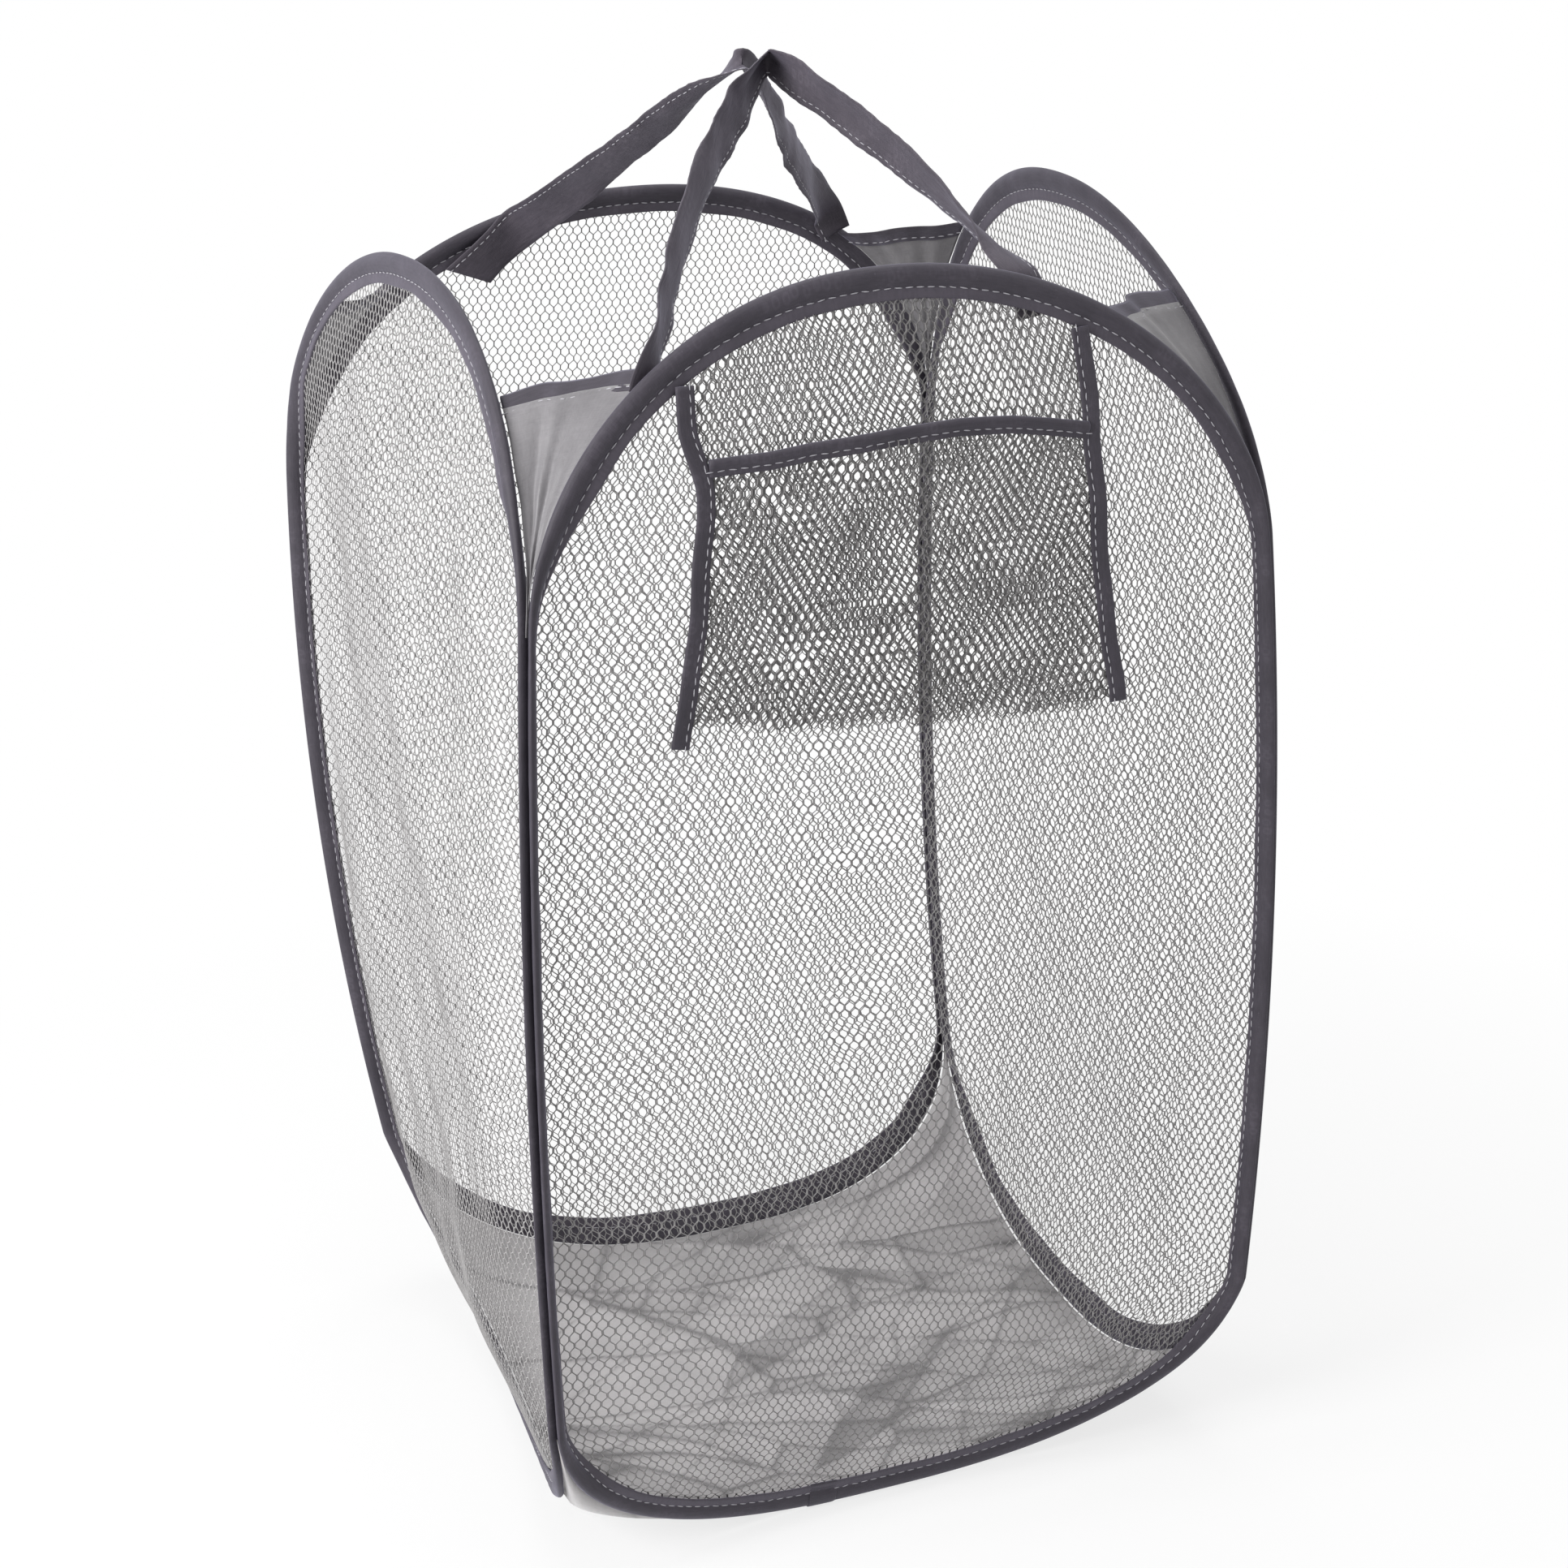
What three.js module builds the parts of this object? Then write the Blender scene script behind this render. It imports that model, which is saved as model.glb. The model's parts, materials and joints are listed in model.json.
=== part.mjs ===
// Pop up laundry hamper: four sprung hoop panels of hexagonal net in bound edges, hinged on their
// corner seams, with corner gussets, a cloth floor, a hanging net pocket and two webbing handles.
// Millimetres, +Z up, front towards -Y. The origin is the middle of the floor's underside.

import * as THREE from 'three';

// Hoop panels
const panelWidth = 356;
const panelDepth = 344;
const panelHeight = 605;
const archRise = 135;
const cornerRise = 89;
const archPowerShare = 2.15;
const cornerPowerShare = 2.6;
const archStepCount = 20;
const cornerStepCount = 16;
const seamGap = 0.35;

// Spring wire, its crimped ferrule and the folded binding round them
const wireDiameter = 1.6;
const wireSideCount = 6;
const ferruleLength = 16;
const ferruleWall = 0.35;
const ferruleSideCount = 8;
const bindingWidth = 15;
const bindingTape = 0.7;
const fitGap = 0.3;
const bindingLapLength = 17;
const bindingLapOffset = -42;

// Net
const netThickness = 1;
const netGapPitch = 54;
const netGapRow = 41;
const netEdgeBand = 27;
const gapWidthShare = 0.56;
const gapHeightShare = 0.66;

// Corner gussets and their hems
const gussetThickness = 0.8;
const gussetTipHeight = 488;
const gussetTopHeight = 556;
const gussetTuck = 3;
const gussetSag = 5;
const gussetHemHeight = 9;
const gussetHemThickness = 1.6;
const gussetAcrossCount = 4;
const gussetRiseCount = 5;

// Cloth floor
const floorThickness = 1.2;
const floorCellCount = 20;
const floorFoldHeight = 5;
const floorFoldWidth = 13;
const floorRestDepth = 0.5;
const floorFoldShares = [
  { from: [-0.86, -0.34], to: [-0.3, -0.72] },
  { from: [-0.62, 0.46], to: [0.08, -0.5] },
  { from: [-0.16, 0.8], to: [0.66, -0.1] },
  { from: [0.28, 0.7], to: [0.84, 0.24] },
  { from: [0.3, -0.36], to: [0.82, -0.66] },
];

// Hanging pocket on the front panel
const pocketWidth = 186;
const pocketOffset = -3;
const pocketBottomHeight = 408;
const pocketMouthHeight = 524;
const pocketNetThickness = 0.8;
const pocketBulge = 13;
const pocketBulgePowerShare = 0.5;
const pocketGapPitch = 34;
const pocketGapRow = 27;
const pocketEdgeBand = 14;
const pocketTapeWidth = 8.5;
const pocketTapeTail = 8;
const pocketMouthTape = 7.5;
const pocketMouthTapeThickness = 1.6;
const pocketStepCount = 10;
const pocketColumnCount = 8;
const pocketRowCount = 5;

// Webbing handles
const strapWidth = 22;
const strapThickness = 1.2;
const frontHandleLeftSetback = 66;
const frontHandleRightSetback = 108;
const backHandleLeftSetback = 63;
const backHandleRightSetback = 103;
const handlePivotRise = 6;
const handleApexHeight = 675;
const handleApexShift = 5;
const handleApexGap = 15;
const handleApexRadius = 13;
const handleTwistStartShare = 0.15;
const handleTwistEndShare = 0.92;
const handleLegStepCount = 12;
const handleBendStepCount = 6;
const creaseGap = 0.3;
const creaseRun = 1.5;
const creaseThicknessShare = 0.16;
const tabLength = 27;
const tabLean = 2;

// Colours seen in the photo
const slateColour = 0x3b3a45;
const netColour = 0x8b8988;
const clothColour = 0x8f8b8a;
const steelColour = 0x9a9ca0;

const slateMaterial = new THREE.MeshStandardMaterial({ color: slateColour, roughness: 0.75, metalness: 0 });
const netMaterial = new THREE.MeshStandardMaterial({ color: netColour, roughness: 0.7, metalness: 0 });
const clothMaterial = new THREE.MeshStandardMaterial({ color: clothColour, roughness: 0.65, metalness: 0 });
const steelMaterial = new THREE.MeshStandardMaterial({ color: steelColour, roughness: 0.35, metalness: 1 });

// Sizes that follow from the ones above. Across a panel, local y is 0 on the inner face and
// negative towards the outside.
const archHeight = panelHeight - archRise;
const wireRadius = wireDiameter / 2;
const ferruleBore = (wireRadius + fitGap) / Math.cos(Math.PI / ferruleSideCount);
const ferruleRadius = ferruleBore + ferruleWall;
const channelHalf = ferruleRadius + 2 * fitGap;
const bindingHalf = channelHalf + bindingTape;
const bindingThickness = 2 * bindingHalf;
const hemHalf = netThickness / 2 + fitGap;
const wireInset = bindingTape + fitGap + ferruleRadius;
const netInset = wireInset + ferruleRadius + fitGap;
const middleY = -bindingHalf;

const part = new THREE.Group();

// A closed body from points and quads or triangles, turned so that its faces point out.
function solidGeometry(points, faces) {
  const triangles = [];
  for (const face of faces) {
    for (let i = 2; i < face.length; i++) {
      triangles.push([face[0], face[i - 1], face[i]]);
    }
  }
  let volume = 0;
  for (const [a, b, c] of triangles) {
    volume += points[a].dot(points[b].clone().cross(points[c]));
  }
  const positions = points.flatMap((point) => point.toArray());
  const indices = triangles.flatMap(([a, b, c]) => (volume < 0 ? [a, c, b] : [a, b, c]));
  const geometry = new THREE.BufferGeometry();
  geometry.setAttribute('position', new THREE.Float32BufferAttribute(positions, 3));
  geometry.setIndex(indices);
  geometry.computeVertexNormals();
  return geometry;
}

// A section carried along frames. Each frame has an origin and two directions for the section's
// two coordinates. A closed run joins its ends, an open one is capped.
function sweepGeometry(frames, section, closed) {
  const points = [];
  for (const frame of frames) {
    for (const [u, v] of section) {
      points.push(frame.origin.clone().addScaledVector(frame.u, u).addScaledVector(frame.v, v));
    }
  }
  const faces = [];
  const sides = section.length;
  const runs = closed ? frames.length : frames.length - 1;
  for (let i = 0; i < runs; i++) {
    const next = (i + 1) % frames.length;
    for (let j = 0; j < sides; j++) {
      const k = (j + 1) % sides;
      const corners = [i * sides + j, i * sides + k, next * sides + k, next * sides + j];
      // Both broad faces are cut along the same diagonal, so a twisted strip keeps its thickness.
      faces.push(j < sides / 2 ? corners : [...corners.slice(1), corners[0]]);
    }
  }
  if (!closed) {
    const last = (frames.length - 1) * sides;
    const contour = section.map(([u, v]) => new THREE.Vector2(u, v));
    for (const [a, b, c] of THREE.ShapeUtils.triangulateShape(contour, [])) {
      faces.push([c, b, a]);
      faces.push([last + a, last + b, last + c]);
    }
  }
  return solidGeometry(points, faces);
}

// A cloth or plate between an upper and a lower grid of points with the same rows and columns.
function slabGeometry(upper, lower) {
  const rows = upper.length;
  const columns = upper[0].length;
  const points = [...upper.flat(), ...lower.flat()];
  const count = rows * columns;
  const faces = [];
  for (let i = 0; i < rows - 1; i++) {
    for (let j = 0; j < columns - 1; j++) {
      const a = i * columns + j;
      const b = a + 1;
      const c = a + columns + 1;
      const d = a + columns;
      faces.push([a, b, c, d]);
      faces.push([count + a, count + d, count + c, count + b]);
    }
  }
  const rim = [];
  for (let j = 0; j < columns - 1; j++) {
    rim.push(j);
  }
  for (let i = 0; i < rows - 1; i++) {
    rim.push(i * columns + columns - 1);
  }
  for (let j = columns - 1; j > 0; j--) {
    rim.push((rows - 1) * columns + j);
  }
  for (let i = rows - 1; i > 0; i--) {
    rim.push(i * columns);
  }
  for (let i = 0; i < rim.length; i++) {
    const a = rim[i];
    const b = rim[(i + 1) % rim.length];
    faces.push([b, a, count + a, count + b]);
  }
  return solidGeometry(points, faces);
}

// A straight plate along one edge, from its low corner and its three sizes.
function boxMesh(name, material, low, size) {
  const mesh = new THREE.Mesh(new THREE.BoxGeometry(size[0], size[1], size[2]), material);
  mesh.name = name;
  mesh.position.set(low[0] + size[0] / 2, low[1] + size[1] / 2, low[2] + size[2] / 2);
  return mesh;
}

function addMesh(parent, name, geometry, material) {
  const mesh = new THREE.Mesh(geometry, material);
  mesh.name = name;
  parent.add(mesh);
  return mesh;
}

// Points of a hoop's outline, drawn in by an inset square to its edge. Arcs are superellipses,
// tangent to the straight seams between them. Each point has its own inward normal.
function hoopOutline(width, inset) {
  const half = width / 2 - seamGap;
  const outline = [];
  const addArc = (centreHeight, rise, power, side, steps) => {
    for (let i = 0; i <= steps; i++) {
      const angle = (Math.PI * i) / steps;
      const across = side * Math.sign(Math.cos(angle)) * Math.abs(Math.cos(angle)) ** (2 / power);
      const up = side * Math.sin(angle) ** (2 / power);
      const normal = new THREE.Vector2(
        Math.sign(across) * Math.abs(across) ** (power - 1) / half,
        Math.sign(up) * Math.abs(up) ** (power - 1) / rise,
      ).normalize();
      outline.push({
        x: half * across - normal.x * inset,
        z: centreHeight + rise * up - normal.y * inset,
        inward: normal.clone().negate(),
      });
    }
  };
  addArc(archHeight, archRise, archPowerShare, 1, archStepCount);
  addArc(cornerRise, cornerRise, cornerPowerShare, -1, cornerStepCount);
  return outline;
}

// Height of the inset arch over a place across the panel, on the same straight steps.
function archHeightAt(width, inset, x) {
  const arch = hoopOutline(width, inset).slice(0, archStepCount + 1);
  for (let i = 1; i < arch.length; i++) {
    if (x >= arch[i].x && x <= arch[i - 1].x) {
      const share = (x - arch[i].x) / (arch[i - 1].x - arch[i].x);
      return arch[i].z + share * (arch[i - 1].z - arch[i].z);
    }
  }
  return archHeight;
}

// Half the width of a hoop at a height on its arch.
function archHalfAt(width, inset, z) {
  const half = width / 2 - seamGap - inset;
  const share = Math.max(z - archHeight, 0) / (archRise - inset);
  return half * (1 - share ** archPowerShare) ** (1 / archPowerShare);
}

// Height of a hoop's bottom edge over a place across the panel.
function bottomHeightAt(width, x) {
  const share = Math.min(Math.abs(x) / (width / 2), 1);
  return cornerRise * (1 - (1 - share ** cornerPowerShare) ** (1 / cornerPowerShare));
}

function insideHoop(width, inset, x, z) {
  const half = width / 2 - seamGap - inset;
  const share = Math.abs(x) / half;
  if (z > archHeight) {
    return share ** archPowerShare + ((z - archHeight) / (archRise - inset)) ** archPowerShare < 1;
  }
  if (z < cornerRise) {
    return share ** cornerPowerShare + ((cornerRise - z) / (cornerRise - inset)) ** cornerPowerShare < 1;
  }
  return share < 1;
}

// Leaf shaped gaps in half offset rows, kept where the test holds at all four tips.
function leafGaps(centreX, lowZ, highZ, pitch, row, reach, test) {
  const gaps = [];
  const rows = Math.floor((highZ - lowZ) / row);
  const columns = Math.ceil(reach / pitch);
  for (let i = 0; i <= rows; i++) {
    for (let j = -columns; j <= columns; j++) {
      const x = centreX + (j + (i % 2) / 2) * pitch;
      const z = lowZ + i * row;
      const tips = [
        [x, z - row * gapHeightShare],
        [x + (pitch * gapWidthShare) / 2, z],
        [x, z + row * gapHeightShare],
        [x - (pitch * gapWidthShare) / 2, z],
      ];
      if (tips.every(([tipX, tipZ]) => test(tipX, tipZ))) {
        gaps.push(tips);
      }
    }
  }
  return gaps;
}

// A flat net in the panel's plane: its contour and its gaps, from a near face at y.
function netGeometry(contour, gaps, nearY, thickness) {
  const shape = new THREE.Shape(contour.map(([x, z]) => new THREE.Vector2(x, z)));
  for (const gap of gaps) {
    shape.holes.push(new THREE.Path(gap.map(([x, z]) => new THREE.Vector2(x, z))));
  }
  const geometry = new THREE.ExtrudeGeometry(shape, { depth: thickness, bevelEnabled: false });
  geometry.rotateX(Math.PI / 2);
  geometry.translate(0, nearY, 0);
  return geometry;
}

// A net of even cells with a leaf gap in each. pointAt takes a place counted in cells and a depth
// behind the near face, so that the net can follow any bow.
function bowedNetGeometry(columns, rows, pointAt, thickness) {
  const corners = [[0, 0], [1, 0], [1, 1], [0, 1]];
  const centreShare = 1 / 2;
  const tips = [
    [centreShare, centreShare - gapHeightShare / 2],
    [centreShare + gapWidthShare / 2, centreShare],
    [centreShare, centreShare + gapHeightShare / 2],
    [centreShare - gapWidthShare / 2, centreShare],
  ];
  const points = [];
  for (const depth of [0, thickness]) {
    for (let i = 0; i <= rows; i++) {
      for (let j = 0; j <= columns; j++) {
        points.push(pointAt(j, i, depth));
      }
    }
    for (let i = 0; i < rows; i++) {
      for (let j = 0; j < columns; j++) {
        points.push(...tips.map(([across, up]) => pointAt(j + across, i + up, depth)));
      }
    }
  }
  const skin = points.length / 2;
  const knots = (rows + 1) * (columns + 1);
  const knotAt = (i, j) => i * (columns + 1) + j;
  const faces = [];
  for (let i = 0; i < rows; i++) {
    for (let j = 0; j < columns; j++) {
      const frame = corners.map(([across, up]) => knotAt(i + up, j + across));
      const gap = tips.map((tip, k) => knots + (i * columns + j) * tips.length + k);
      for (let k = 0; k < corners.length; k++) {
        const next = (k + 1) % corners.length;
        faces.push([frame[k], frame[next], gap[k]]);
        faces.push([frame[next], gap[next], gap[k]]);
        faces.push([skin + gap[k], skin + frame[next], skin + frame[k]]);
        faces.push([skin + gap[k], skin + gap[next], skin + frame[next]]);
        faces.push([gap[k], gap[next], skin + gap[next], skin + gap[k]]);
      }
    }
  }
  const rim = [];
  for (let j = 0; j < columns; j++) {
    rim.push(knotAt(0, j));
  }
  for (let i = 0; i < rows; i++) {
    rim.push(knotAt(i, columns));
  }
  for (let j = columns; j > 0; j--) {
    rim.push(knotAt(rows, j));
  }
  for (let i = rows; i > 0; i--) {
    rim.push(knotAt(i, 0));
  }
  for (let k = 0; k < rim.length; k++) {
    const next = rim[(k + 1) % rim.length];
    faces.push([next, rim[k], skin + rim[k], skin + next]);
  }
  return solidGeometry(points, faces);
}

// One hoop panel: binding, spring wire, ferrule and net.
function addPanel(group, name, width) {
  const outline = hoopOutline(width, 0);
  const bindingSection = [
    [0, -bindingHalf],
    [bindingWidth, -hemHalf - bindingTape],
    [bindingWidth, -hemHalf],
    [bindingTape, -channelHalf],
    [bindingTape, channelHalf],
    [bindingWidth, hemHalf],
    [bindingWidth, hemHalf + bindingTape],
    [0, bindingHalf],
  ];
  const rimFrames = outline.map(({ x, z, inward }) => ({
    origin: new THREE.Vector3(x, middleY, z),
    u: new THREE.Vector3(inward.x, 0, inward.y),
    v: new THREE.Vector3(0, 1, 0),
  }));
  addMesh(group, `${name}_edge_binding`, sweepGeometry(rimFrames, bindingSection, true), slateMaterial);

  const wireSection = [];
  for (let i = 0; i < wireSideCount; i++) {
    const angle = (2 * Math.PI * i) / wireSideCount;
    wireSection.push([wireInset + wireRadius * Math.cos(angle), wireRadius * Math.sin(angle)]);
  }
  addMesh(group, `${name}_wire_hoop`, sweepGeometry(rimFrames, wireSection, true), steelMaterial);

  const ferruleProfile = [
    new THREE.Vector2(ferruleBore, -ferruleLength / 2),
    new THREE.Vector2(ferruleRadius, -ferruleLength / 2),
    new THREE.Vector2(ferruleRadius, ferruleLength / 2),
    new THREE.Vector2(ferruleBore, ferruleLength / 2),
    new THREE.Vector2(ferruleBore, -ferruleLength / 2),
  ];
  const ferruleGeometry = new THREE.LatheGeometry(ferruleProfile, ferruleSideCount);
  const ferrule = addMesh(group, `${name}_wire_ferrule`, ferruleGeometry, steelMaterial);
  ferrule.rotation.z = Math.PI / 2;
  ferrule.position.set(0, middleY, wireInset);

  const contour = hoopOutline(width, netInset).map(({ x, z }) => [x, z]);
  const gapTest = (x, z) => insideHoop(width, netEdgeBand, x, z);
  const gaps = leafGaps(0, netEdgeBand, panelHeight, netGapPitch, netGapRow, width / 2, gapTest);
  const netY = middleY + netThickness / 2;
  addMesh(group, `${name}_net`, netGeometry(contour, gaps, netY, netThickness), netMaterial);
}

// The lap where the binding's two ends meet, a short plate over its outer side.
function addBindingLap(group, name, x) {
  const lapY = -bindingThickness - fitGap - bindingTape;
  const lowZ = bottomHeightAt(panelWidth, x) + bindingTape;
  const size = [bindingLapLength, bindingTape, bindingWidth - bindingTape];
  group.add(boxMesh(name, slateMaterial, [x - bindingLapLength / 2, lapY, lowZ], size));
}

// The pocket hangs from the front arch's hem on two side tapes, outside the front net.
function addPocket(group) {
  const left = pocketOffset - pocketWidth / 2;
  const right = pocketOffset + pocketWidth / 2;
  const backY = middleY - netThickness / 2 - fitGap;
  const frontY = backY - pocketNetThickness - fitGap;
  const hemInset = bindingWidth + fitGap;

  const backContour = [[left, pocketBottomHeight], [right, pocketBottomHeight]];
  for (let i = 0; i <= pocketStepCount; i++) {
    const x = right + ((left - right) * i) / pocketStepCount;
    backContour.push([x, archHeightAt(panelWidth, hemInset, x) - fitGap]);
  }
  const insideBack = (x, z) => {
    const inWidth = x > left + pocketEdgeBand / 2 && x < right - pocketEdgeBand / 2;
    const belowArch = z < archHeightAt(panelWidth, hemInset, x) - pocketEdgeBand / 2;
    return inWidth && belowArch && z > pocketBottomHeight + pocketEdgeBand / 2;
  };
  const lowRow = pocketBottomHeight + pocketEdgeBand / 2 + pocketGapRow * gapHeightShare;
  const backGaps = leafGaps(
    pocketOffset, lowRow, panelHeight, pocketGapPitch, pocketGapRow, pocketWidth, insideBack,
  );
  const backGeometry = netGeometry(backContour, backGaps, backY, pocketNetThickness);
  addMesh(group, 'pocket_back_net', backGeometry, netMaterial);

  // Outward bow of the front layer, nothing at its sides and bottom and most at its mouth.
  const bulgeAt = (x, z) => {
    const across = 1 - ((x - pocketOffset) / (pocketWidth / 2)) ** 2;
    const up = (z - pocketBottomHeight) / (pocketMouthHeight - pocketBottomHeight);
    return pocketBulge * Math.max(across, 0) * Math.max(up, 0) ** pocketBulgePowerShare;
  };
  const frontTop = pocketMouthHeight - fitGap;
  const frontPoint = (column, row, depth) => {
    const x = left + ((right - left) * column) / pocketColumnCount;
    const z = pocketBottomHeight + ((frontTop - pocketBottomHeight) * row) / pocketRowCount;
    return new THREE.Vector3(x, frontY - bulgeAt(x, z) - depth, z);
  };
  const frontGeometry = bowedNetGeometry(
    pocketColumnCount, pocketRowCount, frontPoint, pocketNetThickness,
  );
  addMesh(group, 'pocket_front_net', frontGeometry, netMaterial);

  const mouthFrames = [];
  for (let i = 0; i <= pocketColumnCount; i++) {
    const x = left + ((right - left) * i) / pocketColumnCount;
    mouthFrames.push({
      origin: new THREE.Vector3(x, frontY - bulgeAt(x, pocketMouthHeight), pocketMouthHeight),
      u: new THREE.Vector3(0, -1, 0),
      v: new THREE.Vector3(0, 0, 1),
    });
  }
  const mouthSection = [
    [0, 0],
    [pocketMouthTapeThickness, 0],
    [pocketMouthTapeThickness, pocketMouthTape],
    [0, pocketMouthTape],
  ];
  addMesh(group, 'pocket_mouth_tape', sweepGeometry(mouthFrames, mouthSection, false), slateMaterial);

  const tapeDepth = 2 * pocketNetThickness + fitGap;
  const tapeFoot = pocketBottomHeight - pocketTapeTail;
  for (const [name, side] of [['pocket_left_tape', -1], ['pocket_right_tape', 1]]) {
    const edge = side < 0 ? left - fitGap : right + fitGap;
    const outer = edge + side * pocketTapeWidth;
    const tapeTop = Math.min(
      archHeightAt(panelWidth, hemInset, outer),
      archHeightAt(panelWidth, hemInset, edge),
    ) - fitGap;
    const low = [Math.min(edge, outer), backY - tapeDepth, tapeFoot];
    group.add(boxMesh(name, slateMaterial, low, [pocketTapeWidth, tapeDepth, tapeTop - tapeFoot]));
  }
}

// One webbing loop and the two tabs that its ends are sewn on. The loop turns on the line between
// the tabs' tops, leans in over the mouth and bends round at its top.
function addHandle(group, name, leftSetback, rightSetback, apexShift) {
  const pivotY = fitGap + strapThickness / 2;
  const pivotAt = (reach, side) => new THREE.Vector3(
    side * reach, pivotY, archHeightAt(panelWidth, 0, reach - strapWidth) + handlePivotRise,
  );
  const leftPivot = pivotAt(panelWidth / 2 - leftSetback, -1);
  const rightPivot = pivotAt(panelWidth / 2 - rightSetback, 1);
  const apex = new THREE.Vector3(apexShift, (panelDepth - handleApexGap) / 2, handleApexHeight);

  // The loop's plane: along its pivot line, up towards its top, and square to both.
  const along = rightPivot.clone().sub(leftPivot).normalize();
  const toApex = apex.clone().sub(leftPivot);
  const apexRun = toApex.dot(along);
  const up = toApex.clone().addScaledVector(along, -apexRun).normalize();
  const square = along.clone().cross(up);
  const span = rightPivot.distanceTo(leftPivot);
  const centre = new THREE.Vector2(apexRun, toApex.dot(up) - handleApexRadius);

  // Ribbon stations up one leg, round the top and down the other leg, in the loop's plane.
  const legs = [[0, 1], [span, -1]].map(([root, side]) => {
    const across = side * (centre.x - root);
    const distance = Math.hypot(across, centre.y);
    const slope = Math.atan2(centre.y, across) + Math.asin(handleApexRadius / distance);
    const direction = new THREE.Vector2(side * Math.cos(slope), Math.sin(slope));
    const length = Math.sqrt(distance ** 2 - handleApexRadius ** 2);
    const runs = [creaseGap, creaseRun];
    for (let i = 1; i <= handleLegStepCount; i++) {
      runs.push(creaseRun + ((length - creaseRun) * i) / handleLegStepCount);
    }
    const stations = runs.map((run) => ({
      at: new THREE.Vector2(root, 0).addScaledVector(direction, run),
      heading: side * slope,
    }));
    return { slope, stations, endHalfWidth: strapWidth / 2 / Math.sin(slope) };
  });
  const path = [...legs[0].stations];
  for (let i = 1; i < handleBendStepCount; i++) {
    const share = i / handleBendStepCount;
    const heading = legs[0].slope * (1 - share) - legs[1].slope * share;
    const offset = new THREE.Vector2(-Math.sin(heading), Math.cos(heading));
    path.push({ at: centre.clone().addScaledVector(offset, handleApexRadius), heading });
  }
  path.push(...legs[1].stations.reverse());

  const inSpace = (x, y, z) => new THREE.Vector3()
    .addScaledVector(along, x).addScaledVector(up, y).addScaledVector(square, z);
  const frames = path.map(({ at, heading }, index) => {
    const fromEnd = Math.min(index, path.length - 1 - index);
    const secondHalf = index > (path.length - 1) / 2;
    const climbed = Math.min(at.y / centre.y, 1);
    const turned = THREE.MathUtils.smoothstep(climbed, handleTwistStartShare, handleTwistEndShare);
    const twist = (Math.PI / 2) * (secondHalf ? 2 - turned : turned);
    const level = inSpace(Math.sin(heading), -Math.cos(heading), 0);
    const wide = level.clone().multiplyScalar(Math.cos(twist)).addScaledVector(square, Math.sin(twist));
    const thick = square.clone().multiplyScalar(Math.cos(twist)).addScaledVector(level, -Math.sin(twist));
    const endHalfWidth = legs[secondHalf ? 1 : 0].endHalfWidth;
    return {
      origin: inSpace(at.x, at.y, 0).add(leftPivot),
      u: fromEnd < 2 ? along.clone().multiplyScalar(endHalfWidth) : wide.multiplyScalar(strapWidth / 2),
      v: thick.multiplyScalar((strapThickness / 2) * (fromEnd === 0 ? creaseThicknessShare : 1)),
    };
  });
  const unitSection = [[-1, -1], [1, -1], [1, 1], [-1, 1]];
  addMesh(group, `${name}_handle_strap`, sweepGeometry(frames, unitSection, false), slateMaterial);

  for (const [side, pivot, leg] of [[-1, leftPivot, legs[0]], [1, rightPivot, legs[1]]]) {
    const tabFrames = [tabLength, creaseRun, creaseGap].map((drop) => ({
      origin: new THREE.Vector3(pivot.x + (side * tabLean * drop) / tabLength, pivotY, pivot.z - drop),
      u: along.clone().multiplyScalar(leg.endHalfWidth),
      v: new THREE.Vector3(
        0, (strapThickness / 2) * (drop === creaseGap ? creaseThicknessShare : 1), 0,
      ),
    }));
    const tabGeometry = sweepGeometry(tabFrames, unitSection, false);
    addMesh(group, `${name}_handle_${side < 0 ? 'left' : 'right'}_tab`, tabGeometry, slateMaterial);
  }
}

// A corner's cloth gusset between two arches, and the folded hem along its top.
function addGusset(name, sideX, sideY) {
  const cornerX = sideX * (panelWidth / 2);
  const cornerY = sideY * (panelDepth / 2);
  const seat = fitGap + gussetThickness / 2;
  const edgesAt = (z) => {
    const alongX = panelWidth / 2 - archHalfAt(panelWidth, gussetTuck, z);
    const alongY = panelDepth / 2 - archHalfAt(panelDepth, gussetTuck, z);
    return [
      new THREE.Vector3(cornerX - sideX * alongX, cornerY - sideY * seat, z),
      new THREE.Vector3(cornerX - sideX * seat, cornerY - sideY * alongY, z),
    ];
  };
  const inward = new THREE.Vector3(-sideX, -sideY, 0).normalize();
  const rowAt = (z, sag, shift) => {
    const [from, to] = edgesAt(z);
    const row = [];
    for (let j = 0; j <= gussetAcrossCount; j++) {
      const share = j / gussetAcrossCount;
      const dip = sag * 4 * share * (1 - share);
      row.push(from.clone().lerp(to, share).addScaledVector(inward, dip + shift));
    }
    return row;
  };
  const near = [];
  const far = [];
  for (let i = 0; i <= gussetRiseCount; i++) {
    const share = i / gussetRiseCount;
    const z = gussetTipHeight + (gussetTopHeight - gussetTipHeight) * share;
    near.push(rowAt(z, gussetSag * share, gussetThickness));
    far.push(rowAt(z, gussetSag * share, 0));
  }
  addMesh(part, `${name}_gusset`, slabGeometry(near, far), clothMaterial);

  const hemLow = gussetTopHeight + fitGap;
  const hemRows = [hemLow, hemLow + gussetHemHeight];
  const hemNear = hemRows.map((z) => rowAt(z, gussetSag, gussetHemThickness));
  const hemFar = hemRows.map((z) => rowAt(z, gussetSag, 0));
  addMesh(part, `${name}_gusset_hem`, slabGeometry(hemNear, hemFar), slateMaterial);
}

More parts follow.
